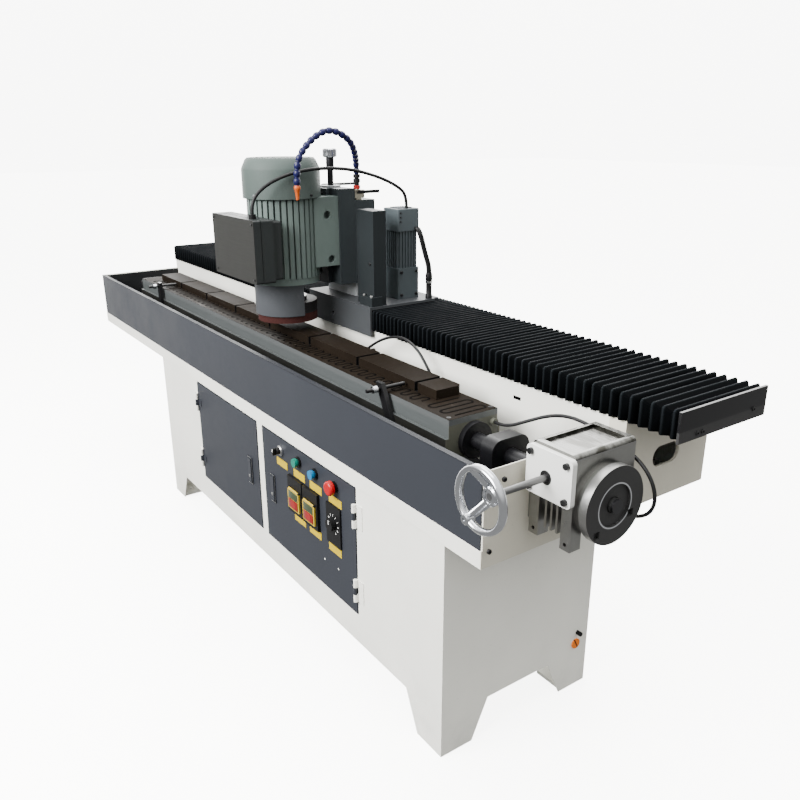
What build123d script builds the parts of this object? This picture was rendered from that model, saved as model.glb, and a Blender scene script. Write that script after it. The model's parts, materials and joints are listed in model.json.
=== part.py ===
from build123d import *
import math
import os

# Straight knife grinding machine.
# X runs along the bed to the right, Y from the operator to the back, Z up.
# The origin lies on the floor, midway between the four anchor holes. Sizes in millimetres.

# Fits
running = 0.05
clear = 0.3
end_play = 0.4

# Cabinet
cabinet_length = 1795.0
cabinet_depth = 490.0
cabinet_height = 577.0
sheet = 3.0
foot_width = 95.0
foot_flare = 48.0
foot_height = 107.0
foot_pad = 85.0
foot_pad_thick = 10.0
anchor_inset = 48.0
anchor_hole_r = 9.0
shelf_over_foot = 8.0
riser_height = 38.0
riser_wall = 6.0
riser_end_inset = 40.0
end_disc_r = 14.0
end_disc_thick = 4.0
end_disc_from_back = 45.0
end_disc_drop = 444.0
end_stud_r = 6.0
end_stud_length = 14.0
end_stud_drop = 412.0
end_stud_shift = 5.0

# Doors
door_drop = 12.0
door_height = 368.0
door_gap = 3.0
door_proud = 2.0
door_return = 18.0
left_door_x = -531.0
left_door_width = 490.0
control_door_x = 2.0
control_door_width = 534.0
hinge_proud = 8.0
hinge_length = 66.0
hinge_inset = 75.0
hinge_leaf = 24.0
hinge_leaf_thick = 2.0
hinge_web = 6.0
knuckle_r = 5.0
hinge_pin_r = 3.0

# Flush latches
latch_width = 20.0
latch_length = 84.0
latch_thick = 6.0
latch_inset = 60.0
latch_surround = 4.0
latch_barrel_r = 3.0
latch_lug = 4.0
small_pin_r = 1.5

# Operator controls on the control door
selector_across = 129.0
selector_drop = 35.0
green_across = 235.0
green_drop = 35.0
blue_across = 330.0
blue_drop = 36.0
stop_across = 435.0
stop_drop = 34.0
bezel_r = 16.0
bezel_length = 6.0
cap_r = 13.0
stem_r = 10.5
stem_length = 30.0
button_proud = 8.0
button_travel = 4.0
stop_cap_r = 20.0
stop_cap_length = 14.0
stop_travel = 5.0
selector_length = 10.0
selector_bar = 8.0
selector_bar_length = 14.0
switch_width = 84.0
switch_height = 112.0
switch_depth = 9.0
switch_drop = 93.0
first_switch_across = 174.0
second_switch_across = 264.0
switch_wall = 2.5
flap_width = 66.0
flap_rise = 15.0
flap_height = 61.0
flap_thick = 5.0
flap_gap = 0.5
flap_barrel_r = 2.5
flap_lug = 5.0
flap_button_r = 13.0
flap_button_thick = 2.0
flap_button_rise = 18.0
dial_across = 391.0
dial_width = 73.0
dial_drop = 91.0
dial_height = 118.0
dial_depth = 5.0
dial_knob_r = 17.0
dial_knob_length = 14.0
dial_knob_rise = 64.0
dial_stem_r = 4.0
tag_width = 66.0
tag_height = 23.0
tag_thick = 1.0
tag_drop = 54.0
lower_tag_gap = 4.0
switch_tag_shift = 13.0

# Trough
trough_overhang = 124.5
trough_left_gap = 202.0
trough_proud = 6.0
trough_rise = 214.0
lip_height = 41.0
rim_width = 14.0
fascia_end_gap = 5.0
trough_hole_r = 28.0

# Bed, rails and rack
bed_overhang = 43.0
bed_left_overhang = 15.0
bed_from_back = 139.0
bed_width = 301.0
bed_height = 215.0
bed_wall = 8.0
end_slot_length = 93.0
end_slot_height = 51.0
end_slot_back = 149.0
end_slot_rise = 104.0
front_slot_inset = 332.0
front_slot_drop = 41.0
front_slot_length = 26.0
front_slot_height = 9.0
rail_width = 23.0
rail_height = 24.0
rail_waist = 2.5
rail_waist_height = 8.0
rail_inset_front = 34.0
rail_inset_back = 59.0
rail_end = 15.0
block_length = 70.0
block_width = 66.0
block_lift = 6.0
block_height = 30.0
rack_module = 3.0
rack_height = 28.0
rack_back = 16.0
rack_margin = 60.0
backlash = 0.2
pressure_angle = math.radians(20)
flank_steps = 5
root_share = 1.25
pinion_teeth = 16
pinion_width = 22.0
pinion_lift = 8.0
pinion_shaft_r = 10.0
pinion_shaft_in_head = 55.0

# Carriage, placed from the motor axis at mid feed
head_from_end = 1183.0
travel_left = 1150.0
travel_right = 850.0
saddle_left = 64.0
saddle_right = 221.0
saddle_proud = 11.0
saddle_back_inset = 26.0
saddle_core = 29.0
saddle_plate = 8.0
plate_left = 119.0
plate_right = 261.0
plate_proud = 18.0
plate_back_inset = 72.0
apron_thick = 6.7
apron_drop = 82.0
apron_hole_r = 6.0
apron_hole_right = 37.0
apron_hole_drop = 47.0
front_block_shift = 29.0
back_block_shift = 186.0

# Bellows
bellows_back_inset = 20.0
bellows_lift = 2.0
bellows_height = 61.0
bellows_fold = 12.0
bellows_wall = 2.0
right_pleats = 51
left_pleats = 64
bracket_thick = 6.0
bracket_overhang = 131.0
bracket_left_inset = 3.0
bracket_margin = 3.0
bracket_shelf_thick = 4.0
bracket_shelf_shift = 30.0
bracket_shelf_width = 115.0
bracket_shelf_length = 196.0

# Column, vertical slide and feed screw
column_half_width = 100.0
column_proud = 21.0
column_depth = 57.0
column_height = 340.0
column_lift = 47.0
plinth_half_width = 89.0
plinth_in = 62.0
dovetail_depth = 20.0
dovetail_base = 45.0
dovetail_tip = 57.5
slot_half = 16.0
slot_bottom = 27.0
slot_top = 18.0
slot_back_wall = 7.0
rear_block_left = 39.0
rear_block_right = 101.0
rear_block_depth = 75.0
rear_block_drop = 36.0
column_edge = 6.0
slide_half_width = 95.0
slide_depth = 85.0
slide_gap = 0.5
slide_lift = 109.0
slide_height = 210.0
slide_hole_r = 12.0
slide_hole_depth = 22.0
slide_upper_hole_in = 45.0
slide_upper_hole_drop = 54.0
slide_lower_hole_in = 57.0
slide_lower_hole_rise = 21.0
nut_half = 14.0
nut_past_screw = 15.0
nut_lift = 78.0
nut_height = 30.0
screw_in = 30.0
screw_r = 8.0
screw_foot = 5.0
screw_rise = 103.0
collar_r = 32.0
collar_length = 5.0
shank_r = 9.5
sleeve_r = 12.5
sleeve_length = 46.0
knob_r = 22.0
knob_length = 26.0
knob_edge = 3.0
knob_flutes = 24
knob_flute_r = 1.6
cover_left = 159.0
cover_width = 92.0
cover_in = 25.0
cover_depth = 45.0
cover_height = 284.0
cover_foot_in = 30.0
cover_foot_past = 7.0
cover_foot_ahead = 13.0
cover_foot_depth = 27.0
cover_foot_height = 28.0
gearmotor_shift = 176.0
gearmotor_in = 162.0
gear_body_shift = 6.0
gearhead_half = 41.0
gearhead_height = 97.0
gearhead_edge = 6.0
gear_rib_height = 115.0
gear_rib_half = 38.0
gear_rib_rows = 6
gear_rib_pitch = 11.0
gear_rib_thick = 6.0
gear_core_half = 34.0
gear_core_edge = 4.0
gear_cowl_height = 68.0
gear_cowl_edge = 4.0

# Grinding head
chuck_from_bed = 163.0
wheel_r = 94.0
wheel_gap = 31.0
wheel_height = 60.0
wheel_rim = 32.0
wheel_back = 16.0
hub_r = 38.0
flange_r = 62.0
flange_thick = 12.0
clamp_r = 50.0
clamp_thick = 8.0
hood_r = 99.5
hood_wall = 3.0
hood_lift = 22.0
hood_height = 97.0
hood_plate = 4.0
hood_plate_hole_r = 45.0
hood_back = 9.0
motor_flange_r = 105.0
motor_flange_thick = 20.0
motor_core_r = 96.0
motor_fin_r = 108.0
motor_fins = 36
motor_fin_thick = 13.0
motor_length = 265.0
motor_ring_r = 116.0
motor_ring_thick = 10.0
stator_r = 56.5
rotor_r = 56.0
winding_r = 78.0
winding_space = 15.0
spindle_r = 15.0
tail_r = 12.0
lower_bearing_r = 31.0
lower_bearing_width = 16.0
upper_bearing_r = 26.0
upper_bearing_width = 12.0
seal_gap = 2.0
cowl_wall = 2.0
cowl_height = 116.0
cowl_curve = [(0, 82), (2, 66), (5, 56), (9, 40), (15, 26), (23, 12), (34, 3), (46, 0)]
grille_rings = 3
grille_holes = 12
grille_hole_r = 4.5
grille_pitch = 18.0
fan_r = 85.0
fan_hub_r = 24.0
fan_height = 34.0
fan_blades = 7
fan_blade_thick = 3.0
fan_lift = 18.0
box_left = 149.0
box_right = 148.0
box_reach = 169.0
box_depth = 89.0
box_lift = 25.0
box_height = 182.0
box_wall = 4.0
box_edge = 6.0
box_lid = 22.0
box_groove = 3.0
box_groove_depth = 2.0
box_neck = 27.0
box_neck_inset = 6.0
gland_r = 11.0
gland_length = 13.0
box_gland_right = 101.0
box_gland_reach = 148.0

# Coolant line on the column
valve_right = 76.0
valve_in = 23.0
valve_base_r = 15.0
valve_base = 6.0
valve_body = 34.0
valve_body_height = 24.0
valve_neck_r = 8.0
valve_neck = 46.0
valve_ring_r = 11.0
valve_rings = [(3, 13), (22, 32), (36, 46)]
lever_stem_r = 4.0
lever_gap = 4.0
lever_lift = 18.0
lever_width = 10.0
lever_length = 68.0
lever_thick = 4.0
supply_r = 4.0
supply_rise = 19.0
supply_bend = 24.0
supply_middle = [(-235, 0, 2), (-235, 0, -237), (-177, 0, -287)]
hose_middle = [(0, 0, 30), (53, -37, 66), (84, -74, 106), (82, -136, 135), (74, -185, 114), (82, -234, 72),
               (81, -251, 34)]
hose_fall = 54.0
hose_beads = 20
hose_r = 10.0
hose_neck_r = 7.0
hose_bore_r = 4.0
bead_shoulder = 0.25
nozzle_length = 40.0
nozzle_tip_r = 4.5
nozzle_bore_r = 3.0

# Magnetic chuck, gearbox and handwheel
chuck_length = 2200.0
chuck_end_gap = 260.0
chuck_rise = 153.0
plate_half_front = 73.0
plate_half_back = 73.0
ledge_width = 8.0
ledge_bottom = -40.0
ledge_top = 15.0
plate_bottom = 46.0
plate_top = 61.0
pole_block_top = 85.0
pole_block_ahead = 11.0
pole_block_behind = 69.0
pole_block_left_inset = 85.0
pole_block_right_inset = 128.0
pole_gap = 12.0
pole_gap_inset = 327.0
pole_gap_pitch = 277.0
pole_gaps = 7
pole_corner = 14.0
trunnion_flange_r = 45.0
trunnion_flange = 15.0
trunnion_r = 20.0
trunnion_step_back = 32.0
trunnion_end_r = 15.0
trunnion_proud = 24.0
trunnion_left = 107.0
pedestal_offset = 88.0
pedestal_width = 40.0
pedestal_half = 55.0
pedestal_over = 45.0
left_pedestal_offset = 52.0
arm_width = 26.0
arm_thick = 12.0
arm_foot_drop = 30.0
arm_rise = 87.0
right_arm_foot_inset = 202.0
right_arm_top_inset = 259.0
left_arm_inset = 283.0
rod_rise = 73.0
rod_radius = 5.0
rod_reach = 133.0
rod_length = 114.0
rod_nut_r = 9.0
rod_nut_in = 18.0
rod_nut_length = 12.0
worm_module = 2.5
worm_teeth = 30
worm_r = 12.5
worm_backlash = 0.35
worm_root = 1.2
worm_turns = 6
seat_in = 0.5
worm_lead_turns = 3
worm_shaft_r = 7.0
worm_shaft_reach = 240.0
worm_shaft_behind = 57.0
wheel_plane_in = 68.0
gear_face = 14.0
wheel_hub_r = 22.0
wheel_hub_half = 34.0
gear_bearing_r = 36.0
gear_bearing_width = 16.0
worm_bearing_r = 20.0
worm_bearing_width = 14.0
worm_bearing_half = 57.0
housing_foot = 18.0
housing_width = 125.0
housing_half_depth = 85.0
housing_over_worm = 62.0
housing_block_lift = 6.0
housing_block_width = 112.0
housing_drum_r = 76.0
housing_cavity_r = 46.0
housing_edge = 10.0
mount_half = 70.0
leg_width = 26.0
leg_depth = 30.0
leg_drop = 90.0
leg_ribs = 3
leg_rib_thick = 5.0
leg_rib_in = 4.0
leg_rib_rise = 24.0
pocket_margin = 14.0
pocket_depth = 6.0
cover_plate_margin = 4.0
cover_plate_height = 100.0
cover_plate_thick = 12.0
cap_screw_r = 6.5
cap_screw_head = 7.0
cap_screw_shank_r = 4.0
cap_screw_shank = 22.0
cap_screw_inset = 13.0
cap_screw_gap = 0.1
output_flange_r = 82.0
output_flange_thick = 18.0
flange_recess_r = 45.0
flange_recess = 6.0
flange_pocket = 16.0
flange_pocket_depth = 8.0
flange_pockets = [(47, -28), (-47, -51)]
handwheel_r = 61.0
handwheel_tube_r = 7.0
handwheel_rim_half = 9.0
handwheel_reach = 261.0
handwheel_hub_r = 20.0
handwheel_hub_over = 2.0
handwheel_hub_length = 28.0
spoke_r = 6.0
spoke_first = 237.0
spokes = 3
rim_sides = 12
rim_boss_r = 11.0
rim_boss_half = 10.0
rim_boss_hole_r = 4.0

# Cables
motor_cable_r = 5.0
lead_r = 4.0
conduit_r = 4.5
conduit_sleeve_r = 11.0
bend_share = 0.45
lead_gland_r = 9.0
lead_gland_length = 10.0
chuck_gland_behind = 59.0
chuck_gland_rise = 30.0
wall_gland_behind = 17.0
wall_gland_drop = 78.0
bed_gland_inset = 668.0
bed_gland_drop = 66.0
rear_gland_inset = 306.0
rear_gland_drop = 27.0
motor_cable_middle = [(101, -148, 319), (110, -111, 359), (125, -48, 389), (137, 37, 405),
                      (153, 147, 402),
                      (175, 237, 377), (193, 297, 347), (199, 325, 319)]
long_lead_middle = [(46, 59, 30), (96, 77, 56), (143, 97, 80), (200, 102, 94), (264, 102, 90),
                    (332, 102, 76),
                    (391, 102, 57), (424, 102, 27), (438, 102, -12), (426, 102, -48), (388, 102, -70),
                    (326, 102, -78)]
short_lead_middle = [(-668, 133, 34), (-659, 118, 39), (-641, 108, 49), (-606, 108, 71), (-562, 110, 98),
                     (-506, 113, 121), (-442, 115, 132), (-380, 115, 115), (-338, 117, 75),
                     (-318, 123, 42),
                     (-308, 129, 16), (-306, 129, -5), (-306, 121, -19), (-306, 107, -27)]
conduit_points = [(0, 30, 219), (14, 30, 219), (28, 45, 137), (36, 53, 102), (36, 53, 82)]

# Inside the cabinet
panel_inset = 38.0
panel_width = 460.0
panel_lift = 35.0
panel_height = 390.0
panel_thick = 3.0
contactor_rows = 3
contactor_columns = 5
contactor_width = 54.0
contactor_height = 78.0
contactor_depth = 62.0
contactor_pitch_x = 88.0
contactor_pitch_z = 122.0
contactor_margin = 30.0
tank_inset = 31.0
tank_width = 380.0
tank_front = -40.0
tank_depth = 240.0
tank_height = 210.0
tank_wall = 3.0
pump_r = 55.0
pump_height = 120.0
pump_plate = 6.0
pump_pipe_r = 9.0
pump_pipe_length = 90.0

# Levels that follow from the sizes above
cabinet_end = cabinet_length / 2
cabinet_back = cabinet_depth / 2
cabinet_front = -cabinet_back
end_disc_y = cabinet_back - end_disc_from_back
end_disc_z = cabinet_height - end_disc_drop
end_stud_z = cabinet_height - end_stud_drop
shelf_z = foot_height + shelf_over_foot
door_face = cabinet_front - door_proud
door_top = cabinet_height - door_drop
door_bottom = door_top - door_height
latch_z = (door_bottom + door_top) / 2
left_latch_x = left_door_x + left_door_width - latch_inset
control_latch_x = control_door_x + latch_inset
switch_bottom = door_top - switch_drop - switch_height
dial_x = control_door_x + dial_across
dial_bottom = door_top - dial_drop - dial_height
bed_bottom = cabinet_height + riser_height
bed_top = bed_bottom + bed_height
bed_front = cabinet_back - bed_from_back
bed_back = bed_front + bed_width
trough_front = cabinet_front - trough_proud
trough_right = cabinet_end + trough_overhang
trough_rim = cabinet_height + trough_rise
chuck_right = trough_right - chuck_end_gap
chuck_left = chuck_right - chuck_length
chuck_y = bed_front - chuck_from_bed
chuck_axis_z = cabinet_height + chuck_rise
trough_left = chuck_left - trough_left_gap
bed_right = trough_right + bed_overhang
bed_left = trough_left - bed_left_overhang
rail_front_y = bed_front + rail_inset_front
rail_back_y = bed_back - rail_inset_back
rail_top = bed_top + rail_height
block_bottom = bed_top + block_lift
block_top = block_bottom + block_height
saddle_top = block_top + saddle_core
saddle_front = bed_front - saddle_proud
saddle_back = bed_back - saddle_back_inset
plate_front = bed_front - plate_proud
plate_back = bed_back - plate_back_inset
plate_surface = saddle_top + saddle_plate
head_x = trough_right - head_from_end
column_front = bed_front - column_proud
column_back = column_front + column_depth
column_bottom = plate_surface + column_lift
column_top = plate_surface + column_height
screw_y = column_front + screw_in
bracket_right = bed_right + bracket_overhang
bracket_left = bed_left + bracket_left_inset + bracket_thick
bellows_front = saddle_front
bellows_back = bed_back - bellows_back_inset
bellows_bottom = bed_top + bellows_lift
bellows_top = bellows_bottom + bellows_height
gearmotor_x = head_x + gearmotor_shift
gearmotor_y = bed_front + gearmotor_in
gear_body_x = gearmotor_x - gear_body_shift
rack_pitch = math.pi * rack_module
pinion_r = rack_module * pinion_teeth / 2
rack_line = gearmotor_y + pinion_r
wheel_bottom = chuck_axis_z + pole_block_top + wheel_gap
wheel_top = wheel_bottom + wheel_height
hood_bottom = wheel_bottom + hood_lift
motor_bottom = hood_bottom + hood_height
motor_top = motor_bottom + motor_length
cowl_bottom = motor_top - motor_ring_thick
cowl_top = cowl_bottom + cowl_height
slide_bottom = plate_surface + slide_lift
slide_top = slide_bottom + slide_height
slide_front = column_front - slide_depth
slide_back = column_front - slide_gap
box_front = chuck_y - box_reach
box_bottom = motor_bottom + box_lift
box_top = box_bottom + box_height
valve_x = head_x + valve_right
valve_y = column_back + valve_in
valve_z = column_top - rear_block_drop
hose_start = valve_z + valve_base + valve_body_height + valve_neck
lever_z = valve_z + valve_base + lever_lift
plate_front_y = chuck_y - plate_half_front
plate_back_y = chuck_y + plate_half_back
ledge_front = plate_front_y - ledge_width
ledge_back = plate_back_y + ledge_width
arm_front = ledge_front - arm_thick
arm_foot_z = chuck_axis_z - arm_foot_drop
arm_top_z = chuck_axis_z + arm_rise
rod_level = chuck_axis_z + rod_rise
rod_front = chuck_y - rod_reach
worm_z = chuck_axis_z + worm_module * worm_teeth / 2 + worm_r
worm_pitch = math.pi * worm_module
housing_face = trough_right + housing_foot
housing_right = housing_face + housing_width
housing_block_right = housing_face + housing_block_width
housing_block_bottom = chuck_axis_z + housing_block_lift
housing_back = chuck_y + housing_half_depth
worm_bore_front = chuck_y - housing_half_depth
wheel_plane_x = trough_right + wheel_plane_in
trunnion_step = wheel_plane_x - trunnion_step_back
trunnion_end = housing_right + trunnion_proud
handwheel_y = chuck_y - handwheel_reach
worm_shaft_front = chuck_y - worm_shaft_reach
handwheel_hub_front = worm_shaft_front - handwheel_hub_over
handwheel_hub_back = handwheel_hub_front + handwheel_hub_length
wall_gland_y = housing_back + wall_gland_behind
wall_gland_z = chuck_axis_z - wall_gland_drop

os.makedirs("parts", exist_ok=True)


def block(x0, x1, y0, y1, z0, z1):
    return Pos((x0 + x1) / 2, (y0 + y1) / 2, (z0 + z1) / 2) * Box(x1 - x0, y1 - y0, z1 - z0)


def rod_x(x0, x1, y, z, r):
    return Pos((x0 + x1) / 2, y, z) * Rot(0, 90, 0) * Cylinder(r, x1 - x0)


def rod_y(y0, y1, x, z, r):
    return Pos(x, (y0 + y1) / 2, z) * Rot(90, 0, 0) * Cylinder(r, y1 - y0)


def rod_z(z0, z1, x, y, r):
    return Pos(x, y, (z0 + z1) / 2) * Cylinder(r, z1 - z0)


def prism(points, travel):
    return extrude(make_face(Polyline(*points, close=True)), amount=Vector(*travel).length, dir=travel)


def turned(profile, x, y):
    face = make_face(Polyline(*[(x + r, y, z) for r, z in profile], close=True))
    return revolve(face, axis=Axis((x, y, 0), (0, 0, 1)))


def offset(points, origin):
    return [tuple(a + b for a, b in zip(point, origin)) for point in points]


def tube_path(points):
    # Each corner is rounded with the largest arc that leaves straight runs between neighbours.
    corners = [Vector(*point) for point in points]
    radii = []
    for before, corner, after in zip(corners, corners[1:], corners[2:]):
        entering = corner - before
        leaving = after - corner
        turn = math.radians(entering.get_angle(leaving))
        shorter = min(entering.length, leaving.length)
        radii.append(bend_share * shorter / math.tan(turn / 2))
    return FilletPolyline(*points, radius=radii), radii


def cable(name, points, r):
    path, radii = tube_path(points)
    start = Plane(path @ 0, z_dir=path % 0)
    body = sweep(start * Circle(r), path=path)
    ideal = math.pi * r * r * path.length
    print(name, "length", round(path.length, 1), "least bend", round(min(radii), 1),
          "volume share", round(body.volume / ideal, 4))
    return body


def gear(teeth, module, phase, width, root_gap, slack):
    # Involute flanks drawn through a few radii, thinned by the slack on each flank.
    pitch_r = module * teeth / 2
    base_r = pitch_r * math.cos(pressure_angle)
    tip_r = pitch_r + module
    root_r = pitch_r - root_gap * module

    def half_angle(r):
        at = max(r, base_r)
        lean = math.acos(base_r / at)
        involute = math.tan(lean) - lean
        start = math.tan(pressure_angle) - pressure_angle
        return math.pi / (2 * teeth) + start - involute - slack / pitch_r

    radii = [root_r + (tip_r - root_r) * i / flank_steps for i in range(flank_steps + 1)]
    points = []
    for tooth in range(teeth):
        middle = phase + 2 * math.pi * tooth / teeth
        for r in radii:
            points.append((r, middle - half_angle(r)))
        for r in reversed(radii):
            points.append((r, middle + half_angle(r)))
    outline = [(r * math.cos(a), r * math.sin(a), 0) for r, a in points]
    return prism(outline, (0, 0, width))


def save(node, *shapes):
    solids = [solid for shape in shapes for solid in shape.solids()]
    export_step(Compound(solids), f"parts/{node}.step")


# Cabinet: folded sheet on four splayed feet, open below the shelf
inner = (-cabinet_end + sheet, cabinet_end - sheet, cabinet_front + sheet, cabinet_back - sheet)
cabinet = block(-cabinet_end, cabinet_end, cabinet_front, cabinet_back, 0, cabinet_height)
cabinet -= block(*inner, 0, cabinet_height - sheet)


def foot_gap(half):
    low = half - foot_width
    high = low - foot_flare
    return [(-low, 0), (-high, foot_height), (high, foot_height), (low, 0)]


side_gap = [(x, cabinet_front, z) for x, z in foot_gap(cabinet_end)]
end_gap = [(-cabinet_end, y, z) for y, z in foot_gap(cabinet_back)]
cabinet -= prism(side_gap, (0, cabinet_depth, 0))
cabinet -= prism(end_gap, (cabinet_length, 0, 0))
for door_x, door_width in ((left_door_x, left_door_width), (control_door_x, control_door_width)):
    cabinet -= block(door_x - door_gap, door_x + door_width + door_gap, cabinet_front,
                     cabinet_front + sheet,
                     door_bottom - door_gap, door_top + door_gap)
cabinet += block(*inner, shelf_z, shelf_z + sheet)
partition_x = (left_door_x + left_door_width + control_door_x) / 2
cabinet += block(partition_x - sheet / 2, partition_x + sheet / 2, *inner[2:], shelf_z,
                 cabinet_height - sheet)
riser_x = cabinet_end - riser_end_inset
riser = block(-riser_x, riser_x, bed_front, cabinet_back, cabinet_height, bed_bottom)
riser -= block(-riser_x + riser_wall, riser_x - riser_wall, bed_front + riser_wall,
               cabinet_back - riser_wall,
               cabinet_height, bed_bottom)
cabinet += riser
for side in (-1, 1):
    for edge in (-1, 1):
        wall_x = side * (cabinet_end - sheet)
        wall_y = edge * (cabinet_back - sheet)
        pad_x = sorted((wall_x, wall_x - side * foot_pad))
        pad_y = sorted((wall_y, wall_y - edge * foot_pad))
        pad = block(*pad_x, *pad_y, 0, foot_pad_thick)
        pad -= rod_z(0, foot_pad_thick, side * (cabinet_end - anchor_inset),
                     edge * (cabinet_back - anchor_inset),
                     anchor_hole_r)
        cabinet += pad
cabinet += rod_x(cabinet_end, cabinet_end + end_disc_thick, end_disc_y, end_disc_z, end_disc_r)
cabinet += rod_x(cabinet_end, cabinet_end + end_stud_length, end_disc_y + end_stud_shift, end_stud_z,
                 end_stud_r)
save("cabinet_shell", cabinet)

# Doors hang on knuckle hinges that stand proud of the front
hinge_y = cabinet_front - hinge_proud
knuckle = hinge_length / 3


def hinge_levels():
    return (door_bottom + hinge_inset, door_top - hinge_inset)


def fixed_hinge(axis_x, side):
    # The outer two knuckles carry the pin and a leaf on the cabinet beside the opening.
    pieces = []
    for level in hinge_levels():
        low = level - hinge_length / 2
        away = axis_x - side * (hinge_web + hinge_leaf)
        leaf_x = sorted((axis_x - side * hinge_web, away))
        hinge = block(*leaf_x, cabinet_front - hinge_leaf_thick, cabinet_front, low, low + hinge_length)
        for bottom in (low, low + 2 * knuckle):
            web_x = sorted((axis_x, axis_x - side * hinge_web))
            hinge += rod_z(bottom, bottom + knuckle, axis_x, hinge_y, knuckle_r)
            hinge += block(*web_x, hinge_y, cabinet_front, bottom, bottom + knuckle)
        hinge += rod_z(low, low + hinge_length, axis_x, hinge_y, hinge_pin_r)
        pieces.append(hinge)
    return pieces


def door_leaf(x0, width, axis_x, side):
    x1 = x0 + width
    back = door_face + sheet
    leaf = block(x0, x1, door_face, back + door_return, door_bottom, door_top)
    leaf -= block(x0 + sheet, x1 - sheet, back, back + door_return, door_bottom + sheet, door_top - sheet)
    for level in hinge_levels():
        low = level - knuckle / 2 + end_play
        high = level + knuckle / 2 - end_play
        web_x = sorted((axis_x, axis_x + side * (hinge_web + hinge_leaf)))
        arm = rod_z(low, high, axis_x, hinge_y, knuckle_r)
        arm += block(*web_x, door_face - hinge_leaf_thick, door_face, low, high)
        arm += block(*sorted((axis_x, axis_x + side * hinge_web)), hinge_y, door_face, low, high)
        leaf += arm
        leaf -= rod_z(low, high, axis_x, hinge_y, hinge_pin_r + running)
    return leaf


def pin_and_lugs(x, half, lug, barrel_r, y, z, back):
    # Two lugs on a plate behind them hold a cross pin.
    piece = rod_x(x - half, x + half, y, z, small_pin_r)
    for end in (-1, 1):
        span = sorted((x + end * half, x + end * (half - lug)))
        piece += rod_x(*span, y, z, barrel_r)
        piece += block(*span, y, back, z - barrel_r, z + barrel_r)
    return piece


def latch_seat(x):
    # The surround is a shallow frame round the lever; its lugs hold the lever pin at the lower end.
    half = latch_width / 2 + latch_surround
    low = latch_z - latch_length / 2 - latch_surround
    high = latch_z + latch_length / 2 + latch_surround
    frame = block(x - half, x + half, door_face - latch_barrel_r, door_face, low, high)
    frame -= block(x - half + latch_surround - clear, x + half - latch_surround + clear,
                   door_face - latch_barrel_r, door_face, low + latch_surround - clear,
                   high - latch_surround + clear)
    pin_z = latch_z - latch_length / 2 + latch_barrel_r
    pin_y = door_face - latch_barrel_r - clear
    return frame + pin_and_lugs(x, latch_width / 2 + clear, latch_lug, latch_barrel_r, pin_y, pin_z,
                                door_face)


def latch_lever(x):
    front = door_face - clear - latch_thick
    low = latch_z - latch_length / 2
    lever = block(x - latch_width / 2, x + latch_width / 2, front, door_face - clear,
                  low + 2 * latch_barrel_r + clear, low + latch_length)
    half = latch_width / 2 - latch_lug - end_play
    pin_z = low + latch_barrel_r
    pin_y = door_face - latch_barrel_r - clear
    lever += block(x - half, x + half, front, door_face - clear, pin_z,
                   pin_z + 2 * latch_barrel_r + clear)
    lever += rod_x(x - half, x + half, pin_y, pin_z, latch_barrel_r)
    return lever - rod_x(x - half, x + half, pin_y, pin_z, small_pin_r + running)


def station(across, drop):
    return control_door_x + across, door_top - drop


left_axis = left_door_x - door_gap / 2
control_axis = control_door_x + control_door_width + door_gap / 2
save("door_hinges", *fixed_hinge(left_axis, 1), *fixed_hinge(control_axis, -1))
save("left_door", door_leaf(left_door_x, left_door_width, left_axis, 1) + latch_seat(left_latch_x))
control_door = door_leaf(control_door_x, control_door_width, control_axis,
                         -1) + latch_seat(control_latch_x)
selector_x, selector_z = station(selector_across, selector_drop)
green_x, green_z = station(green_across, green_drop)
blue_x, blue_z = station(blue_across, blue_drop)
stop_x, stop_z = station(stop_across, stop_drop)
stations = ((selector_x, selector_z), (green_x, green_z), (blue_x, blue_z), (stop_x, stop_z))
for x, z in stations:
    control_door -= rod_y(door_face, door_face + sheet, x, z, stem_r + clear)
save("control_door", control_door)
save("left_latch", latch_lever(left_latch_x))
save("control_latch", latch_lever(control_latch_x))

# Fittings screwed to the control door: bezels, tag plates, two switch boxes and the dial box
bezels = []
for x, z in stations:
    ring = rod_y(door_face - bezel_length, door_face, x, z, bezel_r)
    bezels.append(ring - rod_y(door_face - bezel_length, door_face, x, z, stem_r + clear))
first_switch_x = control_door_x + first_switch_across
second_switch_x = control_door_x + second_switch_across
knob_x = dial_x + dial_width / 2
tag_spots = [(x, z - tag_drop) for x, z in stations]
for x in (first_switch_x, second_switch_x):
    tag_spots.append((x + switch_width / 2 + switch_tag_shift, switch_bottom - lower_tag_gap - tag_height))
tag_spots.append((knob_x, dial_bottom - lower_tag_gap - tag_height))
tags = []
for x, z in tag_spots:
    tags.append(block(x - tag_width / 2, x + tag_width / 2, door_face - tag_thick, door_face, z,
                      z + tag_height))
switch_top = switch_bottom + switch_height
switch_face = door_face - switch_depth
flap_axis_y = switch_face - flap_gap - flap_barrel_r
flap_bottom = switch_bottom + flap_rise
flap_axis_z = flap_bottom + flap_height


def switch_box(x):
    body = block(x, x + switch_width, switch_face, door_face, switch_bottom, switch_top)
    body -= block(x + switch_wall, x + switch_width - switch_wall, switch_face + switch_wall, door_face,
                  switch_bottom + switch_wall, switch_top - switch_wall)
    return body + pin_and_lugs(x + switch_width / 2, flap_width / 2, flap_lug, flap_barrel_r,
                               flap_axis_y, flap_axis_z, switch_face)


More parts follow.
